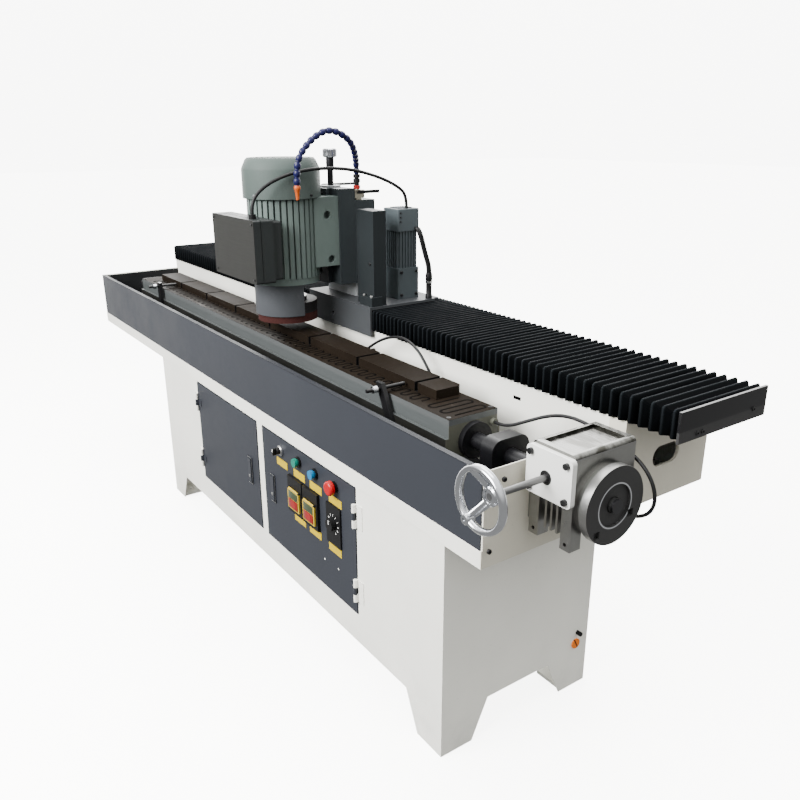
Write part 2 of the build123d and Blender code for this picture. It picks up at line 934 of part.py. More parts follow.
def switch_flap(x):
    middle = x + switch_width / 2
    half = flap_width / 2 - flap_lug - end_play
    front = switch_face - flap_gap - flap_thick
    top = flap_axis_z - flap_barrel_r - clear
    flap = block(middle - flap_width / 2, middle + flap_width / 2, front, switch_face - flap_gap,
                 flap_bottom, top)
    flap += block(middle - half, middle + half, front, switch_face - flap_gap, top, flap_axis_z)
    flap += rod_x(middle - half, middle + half, flap_axis_y, flap_axis_z, flap_barrel_r)
    flap -= rod_x(middle - half, middle + half, flap_axis_y, flap_axis_z, small_pin_r + running)
    return flap + rod_y(front - flap_button_thick, front, middle, flap_bottom + flap_button_rise,
                        flap_button_r)


dial_face = door_face - dial_depth
knob_z = dial_bottom + dial_knob_rise
dial_box = block(dial_x, dial_x + dial_width, dial_face, door_face, dial_bottom,
                 dial_bottom + dial_height)
dial_box -= rod_y(dial_face, dial_face + dial_depth / 2, knob_x, knob_z, dial_stem_r + running)
save("control_fittings", *bezels, *tags, switch_box(first_switch_x), switch_box(second_switch_x),
     dial_box)
save("first_switch_flap", switch_flap(first_switch_x))
save("second_switch_flap", switch_flap(second_switch_x))
knob = rod_y(dial_face - clear - dial_knob_length, dial_face - clear, knob_x, knob_z, dial_knob_r)
knob += rod_y(dial_face - clear, dial_face + dial_depth / 2 - clear, knob_x, knob_z, dial_stem_r)
save("speed_knob", knob)
bezel_face = door_face - bezel_length


def push_button(x, z):
    gap = button_travel + clear
    cap = rod_y(bezel_face - gap - button_proud, bezel_face - gap, x, z, cap_r)
    return cap + rod_y(bezel_face - gap, door_face + stem_length, x, z, stem_r)


save("green_button", push_button(green_x, green_z))
save("blue_button", push_button(blue_x, blue_z))
stop_gap = stop_travel + clear
stop_button = rod_y(bezel_face - stop_gap - stop_cap_length, bezel_face - stop_gap, stop_x, stop_z,
                    stop_cap_r)
stop_button = fillet(stop_button.faces().sort_by(Axis.Y)[0].edges(), stop_cap_length / 2)
stop_button += rod_y(bezel_face - stop_gap, door_face + stem_length, stop_x, stop_z, stem_r)
save("stop_button", stop_button)
selector = rod_y(bezel_face - clear - selector_length, bezel_face - clear, selector_x, selector_z, cap_r)
selector += block(selector_x - selector_bar / 2, selector_x + selector_bar / 2,
                  bezel_face - clear - selector_length - selector_bar_length,
                  bezel_face - clear - selector_length,
                  selector_z - cap_r, selector_z + cap_r)
selector += rod_y(bezel_face - clear, door_face + stem_length, selector_x, selector_z, stem_r)
save("selector_knob", selector)

# Coolant trough with a lip and a folded rim; the fascia sits between them
trough = block(trough_left, trough_right, trough_front + sheet, bed_front, cabinet_height,
               cabinet_height + sheet)
trough += block(trough_left, trough_right, trough_front + sheet, trough_front + 2 * sheet, cabinet_height,
                trough_rim)
trough += block(trough_left, trough_right, trough_front, trough_front + sheet, cabinet_height,
                cabinet_height + lip_height)
trough += block(trough_left, trough_right, trough_front, trough_front + rim_width, trough_rim - sheet,
                trough_rim)
for end in (trough_left, trough_right - sheet):
    trough += block(end, end + sheet, trough_front + sheet, bed_front, cabinet_height, trough_rim)
trough -= rod_x(trough_right - sheet, trough_right, chuck_y, chuck_axis_z, trough_hole_r)
trough += rod_x(trough_right, trough_right + lead_gland_length, wall_gland_y, wall_gland_z, lead_gland_r)
save("trough_pan", trough)
save("front_fascia", block(trough_left + fascia_end_gap, trough_right - fascia_end_gap, trough_front,
                           trough_front + sheet, cabinet_height + lip_height, trough_rim - sheet))

# Bed: a closed box beam with slotted end plates
bed = block(bed_left, bed_right, bed_front, bed_back, bed_bottom, bed_top)
bed -= block(bed_left + bed_wall, bed_right - bed_wall, bed_front + bed_wall, bed_back - bed_wall,
             bed_bottom + bed_wall, bed_top - bed_wall)


def slot_x(x0, x1, y, z, length, height):
    r = height / 2
    slot = block(x0, x1, y - length / 2 + r, y + length / 2 - r, z - r, z + r)
    for end in (-1, 1):
        slot += rod_x(x0, x1, y + end * (length / 2 - r), z, r)
    return slot


for end in (bed_left, bed_right - bed_wall):
    bed -= slot_x(end, end + bed_wall, bed_front + end_slot_back, bed_bottom + end_slot_rise,
                  end_slot_length,
                  end_slot_height)
front_slot_z = bed_top - front_slot_drop
front_slot_x = bed_right - front_slot_inset
bed -= block(front_slot_x - front_slot_length / 2, front_slot_x + front_slot_length / 2, bed_front,
             bed_front + bed_wall, front_slot_z - front_slot_height / 2,
             front_slot_z + front_slot_height / 2)
bed_gland = (chuck_right - bed_gland_inset, bed_top - bed_gland_drop)
bed += rod_y(bed_front - lead_gland_length, bed_front, *bed_gland, lead_gland_r)
save("bed_beam", bed)


def rail(y):
    half = rail_width / 2
    middle = rail_height / 2
    waist = rail_waist_height / 2
    side = [(half, 0), (half, middle - waist), (half - rail_waist, middle), (half, middle + waist),
            (half, rail_height)]
    outline = side + [(-w, h) for w, h in reversed(side)]
    points = [(bed_left + rail_end, y + w, bed_top + h) for w, h in outline]
    return prism(points, (bed_right - bed_left - 2 * rail_end, 0, 0))


save("guide_rails", rail(rail_front_y), rail(rail_back_y))

# Rack teeth are trapezoids; one tooth is centred on the pinion at mid feed
rack_first = math.floor((-travel_left - rack_margin) / rack_pitch)
rack_last = math.ceil((travel_right + rack_margin) / rack_pitch)
rack_root = rack_module * root_share
tip_half = rack_pitch / 4 - rack_module * math.tan(pressure_angle) - backlash
root_half = rack_pitch / 4 + rack_root * math.tan(pressure_angle) - backlash
rack_edge = []
for tooth in range(rack_first, rack_last + 1):
    middle = gearmotor_x + tooth * rack_pitch
    rack_edge.append((middle - root_half, rack_line + rack_root))
    rack_edge.append((middle - tip_half, rack_line - rack_module))
    rack_edge.append((middle + tip_half, rack_line - rack_module))
    rack_edge.append((middle + root_half, rack_line + rack_root))
rack_edge.append((rack_edge[-1][0], rack_line + rack_back))
rack_edge.append((rack_edge[0][0], rack_line + rack_back))
save("feed_rack", prism([(x, y, bed_top) for x, y in rack_edge], (0, 0, rack_height)))

# The drive pinion hangs below the gear head and rolls along the rack
pinion_bottom = bed_top + pinion_lift
pinion = Pos(gearmotor_x, gearmotor_y, pinion_bottom) * gear(pinion_teeth, rack_module,
                                                             math.pi / pinion_teeth,
                                                             pinion_width, root_share, backlash)
pinion += rod_z(pinion_bottom, plate_surface + pinion_shaft_in_head, gearmotor_x, gearmotor_y,
                pinion_shaft_r)
save("drive_pinion", pinion)

# Saddle on four guide blocks
saddle_x0 = head_x - saddle_left
saddle_x1 = head_x + saddle_right
saddle = block(saddle_x0, saddle_x1, saddle_front, saddle_back, block_top, saddle_top)
saddle += block(head_x - plate_left, head_x + plate_right, plate_front, plate_back, saddle_top,
                plate_surface)
saddle += block(head_x - plate_left, head_x + plate_right, plate_front, plate_front + apron_thick,
                saddle_top - apron_drop, saddle_top)
saddle += block(head_x - plinth_half_width, head_x + plinth_half_width, column_front + plinth_in,
                column_back + rear_block_depth, plate_surface, column_bottom)
saddle -= rod_z(block_top, plate_surface, gearmotor_x, gearmotor_y, pinion_shaft_r + clear)
saddle -= rod_y(plate_front, plate_front + apron_thick, head_x + apron_hole_right,
                saddle_top - apron_hole_drop, apron_hole_r)
save("saddle", saddle)
blocks = []
for shift in (-front_block_shift, back_block_shift):
    for y in (rail_front_y, rail_back_y):
        x = head_x + shift
        guide = block(x - block_length / 2, x + block_length / 2, y - block_width / 2,
                      y + block_width / 2,
                      block_bottom, block_top)
        guide -= block(x - block_length / 2, x + block_length / 2, y - rail_width / 2 - clear,
                       y + rail_width / 2 + clear, block_bottom, rail_top + clear)
        blocks.append(guide)
save("guide_blocks", *blocks)


# Bellows: folded sheet of inverted U section between the saddle and the end plates
def bellows(x0, x1, pleats):
    sections = []
    for step in range(2 * pleats + 1):
        inset = bellows_fold * (step % 2)
        x = x0 + (x1 - x0) * step / (2 * pleats)
        outer = (bellows_front + inset, bellows_back - inset, bellows_top - inset)
        edge = (outer[0] + bellows_wall, outer[1] - bellows_wall, outer[2] - bellows_wall)
        points = [(outer[0], bellows_bottom), (outer[0], outer[2]), (outer[1], outer[2]),
                  (outer[1], bellows_bottom),
                  (edge[1], bellows_bottom), (edge[1], edge[2]), (edge[0], edge[2]),
                  (edge[0], bellows_bottom)]
        sections.append(make_face(Polyline(*[(x, y, z) for y, z in points], close=True)))
    return loft(sections, ruled=True, clean=False)


save("bellows_right", bellows(saddle_x1, bracket_right, right_pleats))
save("bellows_left", bellows(bracket_left, saddle_x0, left_pleats))
bracket_y = (bellows_front - bracket_margin, bellows_back + bracket_margin)
right_bracket = block(bracket_right, bracket_right + bracket_thick, *bracket_y,
                      bed_top - bracket_shelf_thick,
                      bellows_top)
bracket_shelf_y = rail_front_y + bracket_shelf_shift
right_bracket += block(bracket_right - bracket_shelf_length, bracket_right, bracket_shelf_y,
                       bracket_shelf_y + bracket_shelf_width, bed_top, bed_top + bracket_shelf_thick)
left_bracket = block(bracket_left - bracket_thick, bracket_left, bed_front, bracket_y[1], bed_top,
                     bellows_top)
save("bellows_brackets", right_bracket, left_bracket)

# Column with a dovetail rail for the vertical slide; a slot lets the feed nut pass
column = block(head_x - column_half_width, head_x + column_half_width, column_front, column_back,
               column_bottom, column_top)
rear_block = block(head_x - rear_block_left, head_x + rear_block_right, column_back,
                   column_back + rear_block_depth, column_bottom, valve_z)
rear_corners = rear_block.edges().filter_by(Axis.Z).group_by(Axis.Y)[-1]
column += fillet(rear_corners, column_edge)


def dovetail(base, tip, y_base, y_tip, z0, z1):
    points = [(head_x - base, y_base, z0), (head_x - tip, y_tip, z0), (head_x + tip, y_tip, z0),
              (head_x + base, y_base, z0)]
    return prism(points, (0, 0, z1 - z0))


rail_tip = column_front - dovetail_depth
column += dovetail(dovetail_base, dovetail_tip, column_front, rail_tip, column_bottom, column_top)
column -= block(head_x - slot_half, head_x + slot_half, rail_tip, column_back - slot_back_wall,
                column_bottom + slot_bottom, column_top - slot_top)
column -= rod_z(column_top - slot_top, column_top, head_x, screw_y, screw_r + running)
save("column", column)

slide_x = (head_x - slide_half_width, head_x + slide_half_width)
slide = block(*slide_x, slide_front, slide_back, slide_bottom, slide_top)
slide -= dovetail(dovetail_base + 2 * clear, dovetail_tip + 2 * clear, slide_back, rail_tip - clear,
                  slide_bottom,
                  slide_top)
slide -= rod_z(slide_bottom, slide_top, head_x, chuck_y, motor_fin_r)
slide -= rod_z(cowl_bottom - clear, slide_top, head_x, chuck_y, motor_ring_r + cowl_wall + clear)
nut_z = slide_bottom + nut_lift
slide += block(head_x - nut_half, head_x + nut_half, rail_tip - 2 * clear, screw_y + nut_past_screw,
               nut_z,
               nut_z + nut_height)
slide -= rod_z(nut_z, nut_z + nut_height, head_x, screw_y, screw_r + running)
for y, z in ((slide_front + slide_upper_hole_in, slide_top - slide_upper_hole_drop),
             (slide_front + slide_lower_hole_in, slide_bottom + slide_lower_hole_rise)):
    slide -= rod_x(slide_x[1] - slide_hole_depth, slide_x[1], y, z, slide_hole_r)
save("head_slide", slide)

screw_bottom = column_bottom + slot_bottom + screw_foot
screw_top = column_top + screw_rise
screw = rod_z(screw_bottom, screw_top, head_x, screw_y, screw_r)
screw += rod_z(column_top + clear, column_top + clear + collar_length, head_x, screw_y, collar_r)
screw += rod_z(column_top + clear, screw_top, head_x, screw_y, shank_r)
screw += rod_z(screw_top - sleeve_length, screw_top, head_x, screw_y, sleeve_r)
grip = rod_z(screw_top - knob_length / 2, screw_top + knob_length / 2, head_x, screw_y, knob_r)
grip = chamfer(grip.edges(), knob_edge)
flutes = []
for step in range(knob_flutes):
    angle = 2 * math.pi * step / knob_flutes
    flutes.append(rod_z(screw_top - knob_length / 2, screw_top + knob_length / 2,
                        head_x + knob_r * math.cos(angle),
                        screw_y + knob_r * math.sin(angle), knob_flute_r))
save("feed_screw", screw + (grip - flutes))

cover_x = head_x + cover_left
cover_front = column_front + cover_in
cover = block(cover_x, cover_x + cover_width, cover_front, cover_front + cover_depth, plate_surface,
              plate_surface + cover_height)
cover -= block(cover_x + sheet, cover_x + cover_width - sheet, cover_front + sheet,
               cover_front + cover_depth - sheet,
               plate_surface, plate_surface + cover_height - sheet)
cover_foot = block(cover_x + cover_foot_in, cover_x + cover_width + cover_foot_past,
                   cover_front - cover_foot_ahead, cover_front + cover_foot_depth, plate_surface,
                   plate_surface + cover_foot_height)
cover_foot -= block(cover_x, cover_x + cover_width, cover_front, cover_front + cover_depth, plate_surface,
                    plate_surface + cover_height)
save("feed_drive_cover", cover + cover_foot)

# Gearmotor that drives the pinion, its body set off from the shaft


def gear_post(half, z0, z1, edge):
    post = block(gear_body_x - half, gear_body_x + half, gearmotor_y - half, gearmotor_y + half, z0, z1)
    return fillet(post.edges().filter_by(Axis.Z), edge)


gearhead_top = plate_surface + gearhead_height
rib_top = gearhead_top + gear_rib_height
gear_top = rib_top + gear_cowl_height
gear_side = gear_body_x + gearhead_half
gearmotor = gear_post(gearhead_half, plate_surface, gearhead_top, gearhead_edge)
gearmotor += gear_post(gear_core_half, gearhead_top, rib_top, gear_core_edge)
ribs = []
for step in range(gear_rib_rows):
    shift = (step - (gear_rib_rows - 1) / 2) * gear_rib_pitch
    x = gear_body_x + shift - gear_rib_thick / 2
    y = gearmotor_y + shift - gear_rib_thick / 2
    ribs.append(block(x, x + gear_rib_thick, gearmotor_y - gear_rib_half, gearmotor_y + gear_rib_half,
                      gearhead_top, rib_top))
    ribs.append(block(gear_body_x - gear_rib_half, gear_body_x + gear_rib_half, y, y + gear_rib_thick,
                      gearhead_top, rib_top))
gearmotor += ribs
gear_cowl = gear_post(gearhead_half, rib_top, gear_top, gearhead_edge)
gearmotor += fillet(gear_cowl.faces().sort_by(Axis.Z)[-1].edges(), gear_cowl_edge)
gearmotor -= rod_z(plate_surface, plate_surface + pinion_shaft_in_head + clear, gearmotor_x, gearmotor_y,
                   pinion_shaft_r + running)
save("drive_gearmotor", gearmotor)

# Grinding motor: ribbed frame with a stator bore, end shields with bearing seats
axis = (head_x, chuck_y)
frame = rod_z(motor_bottom, motor_top, *axis, motor_core_r)
fin_length = motor_length - motor_flange_thick - motor_ring_thick
fin_middle = motor_bottom + motor_flange_thick + fin_length / 2
fins = []
for step in range(motor_fins):
    fin = Pos((motor_core_r + motor_fin_r) / 2 - motor_fin_thick, 0, 0) * Box(
        motor_fin_r - motor_core_r + 2 * motor_fin_thick, motor_fin_thick, fin_length)
    fins.append(Pos(*axis, fin_middle) * Rot(0, 0, 360 * (step + 1 / 2) / motor_fins) * fin)
frame += fins
frame &= rod_z(motor_bottom, motor_top, *axis, motor_fin_r)
frame += rod_z(motor_bottom, motor_bottom + motor_flange_thick, *axis, motor_flange_r)
frame += rod_z(motor_top - motor_ring_thick, motor_top, *axis, motor_ring_r)
lower_seat = motor_bottom + motor_flange_thick - lower_bearing_width
upper_seat = motor_top - seal_gap - upper_bearing_width
stator_bottom = motor_bottom + motor_flange_thick + winding_space
stator_top = upper_seat - winding_space
frame -= rod_z(stator_bottom, stator_top, *axis, stator_r)
frame -= rod_z(motor_bottom + motor_flange_thick, stator_bottom, *axis, winding_r)
frame -= rod_z(stator_top, upper_seat, *axis, winding_r)
frame -= rod_z(lower_seat, motor_bottom + motor_flange_thick, *axis, lower_bearing_r)
frame -= rod_z(motor_bottom, lower_seat, *axis, spindle_r + seal_gap)
frame -= rod_z(upper_seat, upper_seat + upper_bearing_width, *axis, upper_bearing_r)
frame -= rod_z(upper_seat, motor_top, *axis, tail_r + seal_gap)
save("motor_frame", frame)
lower_bearing = rod_z(lower_seat, motor_bottom + motor_flange_thick, *axis, lower_bearing_r)
upper_bearing = rod_z(upper_seat, upper_seat + upper_bearing_width, *axis, upper_bearing_r)
save("motor_bearings", lower_bearing - rod_z(lower_seat, stator_bottom, *axis, spindle_r + running),
     upper_bearing - rod_z(upper_seat, motor_top, *axis, tail_r + running))

# Rotor, spindle, wheel flange and cooling fan turn together
rotor_bottom = stator_bottom + clear
rotor_top = stator_top - clear
fan_bottom = motor_top + fan_lift
clamp_bottom = wheel_top - wheel_back - clamp_thick
rotor = rod_z(clamp_bottom, rotor_bottom, *axis, spindle_r)
rotor += rod_z(rotor_bottom, rotor_top, *axis, rotor_r)
rotor += rod_z(rotor_top, fan_bottom + fan_height, *axis, tail_r)
rotor += rod_z(wheel_top - wheel_back, wheel_top, *axis, hub_r)
rotor += rod_z(wheel_top, wheel_top + flange_thick, *axis, flange_r)
rotor += rod_z(clamp_bottom, clamp_bottom + clamp_thick, *axis, clamp_r)
rotor += rod_z(fan_bottom, fan_bottom + fan_height, *axis, fan_hub_r)
blades = []
for step in range(fan_blades):
    blade = Pos(fan_r / 2, 0, 0) * Box(fan_r, fan_blade_thick, fan_height)
    blades.append(Pos(*axis, fan_bottom + fan_height / 2) * Rot(0, 0, 360 * step / fan_blades) * blade)
rotor += blades
save("rotor_shaft", rotor)

cup = rod_z(wheel_bottom, wheel_top, *axis, wheel_r)
cup -= rod_z(wheel_bottom, wheel_top - wheel_back, *axis, wheel_r - wheel_rim)
cup -= rod_z(wheel_top - wheel_back, wheel_top, *axis, hub_r)
save("cup_wheel", cup)

hood = rod_z(hood_bottom, motor_bottom, *axis, hood_r)
hood -= rod_z(hood_bottom, motor_bottom - hood_plate, *axis, hood_r - hood_wall)
hood -= rod_z(motor_bottom - hood_plate, motor_bottom, *axis, hood_plate_hole_r)
hood -= block(head_x - 2 * hood_r, head_x + 2 * hood_r, chuck_y + hood_back, chuck_y + 2 * hood_r,
              hood_bottom,
              motor_bottom)
save("wheel_hood", hood)

# Fan cowl: a thin domed cup over the fan with rings of air holes
cowl_r = motor_ring_r + cowl_wall
outer = [(cowl_r, cowl_bottom)]
cavity = [(motor_ring_r, cowl_bottom)]
for inset, drop in cowl_curve:
    outer.append((cowl_r - inset, cowl_top - drop))
    cavity.append((motor_ring_r - inset, cowl_top - drop - cowl_wall))
outer.append((0, cowl_top))
cavity.append((0, cowl_top - cowl_wall))
cowl = turned(outer + list(reversed(cavity)), *axis)
holes = []
for ring in range(1, grille_rings + 1):
    for step in range(grille_holes):
        angle = 2 * math.pi * (step + ring / 2) / grille_holes
        holes.append(rod_z(cowl_top - 2 * cowl_wall, cowl_top, head_x + ring * grille_pitch * math.cos(angle),
                           chuck_y + ring * grille_pitch * math.sin(angle), grille_hole_r))
save("fan_cowl", cowl - holes)

# Terminal box: a deep lid and a body parted by a groove, with a narrower neck against the motor


def box_block(inset, y0, y1):
    return block(box_x0 + inset, box_x1 - inset, y0, y1, box_bottom + inset, box_top - inset)


box_x0 = head_x - box_left
box_x1 = head_x + box_right
box_back = box_front + box_depth
body = box_block(0, box_front, box_back - box_neck)
body = fillet(body.edges().filter_by(Axis.Y), box_edge)
neck = box_block(box_neck_inset, box_back - box_neck, box_back)
body += fillet(neck.edges().filter_by(Axis.Y), box_edge)
groove_y = (box_front + box_lid, box_front + box_lid + box_groove)
body -= box_block(0, *groove_y) - box_block(box_groove_depth, *groove_y)
body -= box_block(box_neck_inset + box_wall, box_front + box_wall, box_back - box_wall)
body -= rod_z(box_bottom, box_top, *axis, motor_fin_r)
box_gland = (head_x + box_gland_right, chuck_y - box_gland_reach)
body += rod_z(box_top, box_top + gland_length, *box_gland, gland_r)
save("terminal_box", body)

# Coolant valve on the column, its lever, supply pipe and jointed hose
valve = rod_z(valve_z, valve_z + valve_base, valve_x, valve_y, valve_base_r)
valve += block(valve_x - valve_body / 2, valve_x + valve_body / 2, valve_y - valve_body / 2,
               valve_y + valve_body / 2,
               valve_z + valve_base, valve_z + valve_base + valve_body_height)
valve += rod_z(valve_z + valve_base + valve_body_height, hose_start, valve_x, valve_y, valve_neck_r)
neck_bottom = valve_z + valve_base + valve_body_height
for low, high in valve_rings:
    valve += rod_z(neck_bottom + low, neck_bottom + high, valve_x, valve_y, valve_ring_r)
valve_side = valve_x + valve_body / 2
valve -= rod_x(valve_x, valve_side, valve_y, lever_z, lever_stem_r + running)
supply_start = (valve_x, valve_y, neck_bottom + supply_rise)
supply_bends = offset(supply_middle, (valve_x, valve_y, neck_bottom))
supply_path = FilletPolyline(supply_start, *supply_bends, (*supply_bends[-1][:2], plate_surface),
                             radius=supply_bend)
supply = sweep(Plane(supply_path @ 0, z_dir=supply_path % 0) * Circle(supply_r), path=supply_path)
save("coolant_valve", valve + supply)
lever_x = valve_side + lever_gap
lever = rod_x(valve_x + clear, lever_x, valve_y, lever_z, lever_stem_r)
lever += block(lever_x, lever_x + lever_thick, valve_y - lever_width, valve_y + lever_length,
               lever_z - lever_width / 2, lever_z + lever_width / 2)
save("valve_lever", lever)

hose_bends = offset(hose_middle, (valve_x, valve_y, hose_start))
hose_end_x, hose_end_y, hose_drop_z = hose_bends[-1]
hose_end_z = hose_drop_z - hose_fall
hose_path, hose_radii = tube_path([(valve_x, valve_y, hose_start), *hose_bends,
                                   (hose_end_x, hose_end_y, hose_end_z)])
across = Vector(hose_end_y - valve_y, valve_x - hose_end_x, 0)


def hose_section(share, r):
    return Plane(hose_path @ share, x_dir=across, z_dir=hose_path % share) * Circle(r)


rings = []
for bead in range(hose_beads):
    for part, r in ((0, hose_neck_r), (bead_shoulder, hose_r), (1 - bead_shoulder, hose_r)):
        rings.append(hose_section((bead + part) / hose_beads, r))
rings.append(hose_section(1, hose_neck_r))
hose = loft(rings, ruled=True, clean=False)
tip = Cone(nozzle_tip_r, hose_neck_r, nozzle_length)
tip = Pos(hose_end_x, hose_end_y, hose_end_z - nozzle_length / 2) * tip
bore = sweep(hose_section(0, hose_bore_r), path=hose_path)
nozzle = tip - rod_z(hose_end_z - nozzle_length, hose_end_z, hose_end_x, hose_end_y, nozzle_bore_r)
print("hose length", round(hose_path.length, 1), "least bend", round(min(hose_radii), 1))
save("coolant_hose", hose - bore, nozzle)

# Magnetic chuck: body, pole plate with raised pole blocks, trunnions and knife stops
level = chuck_axis_z
body = block(chuck_left, chuck_right, plate_front_y, plate_back_y, level + ledge_top,
             level + plate_bottom)
body += block(chuck_left, chuck_right, ledge_front, ledge_back, level + ledge_bottom, level + ledge_top)
chuck_gland = (chuck_y + chuck_gland_behind, level + chuck_gland_rise)
rear_gland = (chuck_right - rear_gland_inset, level - rear_gland_drop)
body += rod_x(chuck_right, chuck_right + lead_gland_length, *chuck_gland, lead_gland_r)
body += rod_y(ledge_back, ledge_back + lead_gland_length, *rear_gland, lead_gland_r)
save("chuck_body", body)
plate = block(chuck_left, chuck_right, plate_front_y, plate_back_y, level + plate_bottom,
              level + plate_top)
pole_edges = [chuck_left + pole_block_left_inset]
for step in range(pole_gaps):
    middle = chuck_left + pole_gap_inset + step * pole_gap_pitch
    pole_edges += [middle - pole_gap / 2, middle + pole_gap / 2]
pole_edges.append(chuck_right - pole_block_right_inset)
for index in range(0, len(pole_edges), 2):
    pole = block(pole_edges[index], pole_edges[index + 1], chuck_y - pole_block_ahead,
                 chuck_y + pole_block_behind,
                 level + plate_top, level + pole_block_top)
    if index == 0 or index == len(pole_edges) - 2:
        end_edges = pole.edges().filter_by(Axis.Z).group_by(Axis.X)[0 if index == 0 else -1]
        pole = fillet(end_edges.sort_by(Axis.Y)[-1], pole_corner)
    plate += pole
save("pole_plate", plate)

shaft = rod_x(chuck_right, chuck_right + trunnion_flange, chuck_y, level, trunnion_flange_r)
shaft += rod_x(chuck_right, trunnion_step, chuck_y, level, trunnion_r)
shaft += rod_x(trunnion_step, trunnion_end, chuck_y, level, trunnion_end_r)
left_shaft = rod_x(chuck_left - trunnion_flange, chuck_left, chuck_y, level, trunnion_flange_r)
left_shaft += rod_x(chuck_left - trunnion_left, chuck_left, chuck_y, level, trunnion_r)
save("chuck_trunnions", shaft, left_shaft)
pedestals = []
trough_floor = cabinet_height + sheet
for x in (chuck_right + pedestal_offset, chuck_left - left_pedestal_offset - pedestal_width):
    pedestal = block(x, x + pedestal_width, chuck_y - pedestal_half, chuck_y + pedestal_half,
                     trough_floor,
                     level + pedestal_over)
    pedestal = fillet(pedestal.edges().filter_by(Axis.X).group_by(Axis.Z)[-1], pedestal_half / 2)
    pedestals.append(pedestal - rod_x(x, x + pedestal_width, chuck_y, level, trunnion_r + running))
save("chuck_pedestals", *pedestals)


def arm_x(foot_x, top_x, z):
    return foot_x + (top_x - foot_x) * (z - arm_foot_z) / (arm_top_z - arm_foot_z)


def stop_arm(foot_x, top_x):
    half = arm_width / 2
    outline = [(foot_x - half, arm_foot_z), (foot_x + half, arm_foot_z), (top_x + half, arm_top_z),
               (top_x - half, arm_top_z)]
    arm = prism([(x, arm_front, z) for x, z in outline], (0, arm_thick, 0))
    return arm - rod_y(arm_front, ledge_front, arm_x(foot_x, top_x, rod_level), rod_level,
                       rod_radius + running)


def stop_rod(foot_x, top_x):
    x = arm_x(foot_x, top_x, rod_level)
    rod = rod_y(rod_front, rod_front + rod_length, x, rod_level, rod_radius)
    nut_front = rod_front + rod_nut_in
    return rod + rod_y(nut_front, nut_front + rod_nut_length, x, rod_level, rod_nut_r)


right_arm_foot_x = chuck_right - right_arm_foot_inset
right_arm_top_x = chuck_right - right_arm_top_inset
left_arm_x = chuck_left + left_arm_inset
save("stop_arms", stop_arm(right_arm_foot_x, right_arm_top_x), stop_arm(left_arm_x, left_arm_x))
save("right_stop_rod", stop_rod(right_arm_foot_x, right_arm_top_x))
save("left_stop_rod", stop_rod(left_arm_x, left_arm_x))

# Worm gearbox on the right end of the trough
wheel_gear = gear(worm_teeth, worm_module, math.pi / worm_teeth, gear_face, worm_root, worm_backlash)
wheel_gear = Pos(wheel_plane_x - gear_face / 2, chuck_y, level) * Rot(0, 90, 0) * wheel_gear
wheel_gear += rod_x(wheel_plane_x - wheel_hub_half, wheel_plane_x + wheel_hub_half, chuck_y, level,
                    wheel_hub_r)
wheel_gear -= rod_x(trunnion_step, trunnion_end, chuck_y, level, trunnion_end_r)
wheel_gear -= rod_x(wheel_plane_x - wheel_hub_half, trunnion_step, chuck_y, level, trunnion_r)
save("worm_wheel", wheel_gear)

# The worm is a sleeve on its shaft; its right-hand thread passes the wheel in a tooth space
worm_root_r = worm_r - worm_root * worm_module
worm_tip_r = worm_r + worm_module
thread_start = chuck_y - worm_pitch / 4 - worm_lead_turns * worm_pitch
thread_path = Helix(worm_pitch, worm_turns * worm_pitch, worm_r)
tip_flank = worm_pitch / 4 - worm_module * math.tan(pressure_angle) - worm_backlash
root_flank = worm_pitch / 4 + worm_root * worm_module * math.tan(pressure_angle) - worm_backlash
thread_outline = [(worm_root_r - seat_in, 0, -root_flank), (worm_tip_r, 0, -tip_flank),
                  (worm_tip_r, 0, tip_flank),
                  (worm_root_r - seat_in, 0, root_flank)]
thread = sweep(make_face(Polyline(*thread_outline, close=True)), path=thread_path, is_frenet=True)
thread = Pos(wheel_plane_x, thread_start, worm_z) * Rot(-90, 0, 0) * thread
thread_end = thread_start + worm_turns * worm_pitch
worm_core = rod_y(worm_shaft_front, chuck_y + worm_shaft_behind, wheel_plane_x, worm_z, worm_shaft_r)
worm = rod_y(thread_start - worm_pitch, thread_end + worm_pitch, wheel_plane_x, worm_z, worm_root_r)
save("worm_shaft", worm_core, worm + thread - worm_core)

rim_outline = []
for step in range(rim_sides):
    angle = 2 * math.pi * (step + 1 / 2) / rim_sides
    rim_outline.append((handwheel_r + handwheel_tube_r * math.cos(angle), 0,
                        handwheel_rim_half * math.sin(angle)))
rim_ring = revolve(make_face(Polyline(*rim_outline, close=True)), axis=Axis.Z)
handwheel = rod_y(handwheel_hub_front, handwheel_hub_back, wheel_plane_x, worm_z, handwheel_hub_r)
for step in range(spokes):
    turn = math.radians(spoke_first + 360 * step / spokes)
    start = Vector(wheel_plane_x, (handwheel_hub_front + handwheel_hub_back) / 2, worm_z)
    finish = Vector(wheel_plane_x + handwheel_r * math.cos(turn), handwheel_y,
                    worm_z + handwheel_r * math.sin(turn))
    along = finish - start
    handwheel += Plane((start + finish) / 2, z_dir=along) * Cylinder(spoke_r, along.length)
handwheel += Pos(wheel_plane_x, handwheel_y, worm_z) * Rot(90, 0, 0) * rim_ring
boss_turn = math.radians(spoke_first)
boss_x = wheel_plane_x + handwheel_r * math.cos(boss_turn)
boss_z = worm_z + handwheel_r * math.sin(boss_turn)
handwheel += rod_y(handwheel_y - rim_boss_half, handwheel_y + rim_boss_half, boss_x, boss_z, rim_boss_r)
handwheel -= rod_y(handwheel_y - rim_boss_half, handwheel_y + rim_boss_half, boss_x, boss_z,
                   rim_boss_hole_r)
handwheel -= rod_y(worm_shaft_front, handwheel_hub_back, wheel_plane_x, worm_z, worm_shaft_r)
save("handwheel", handwheel)

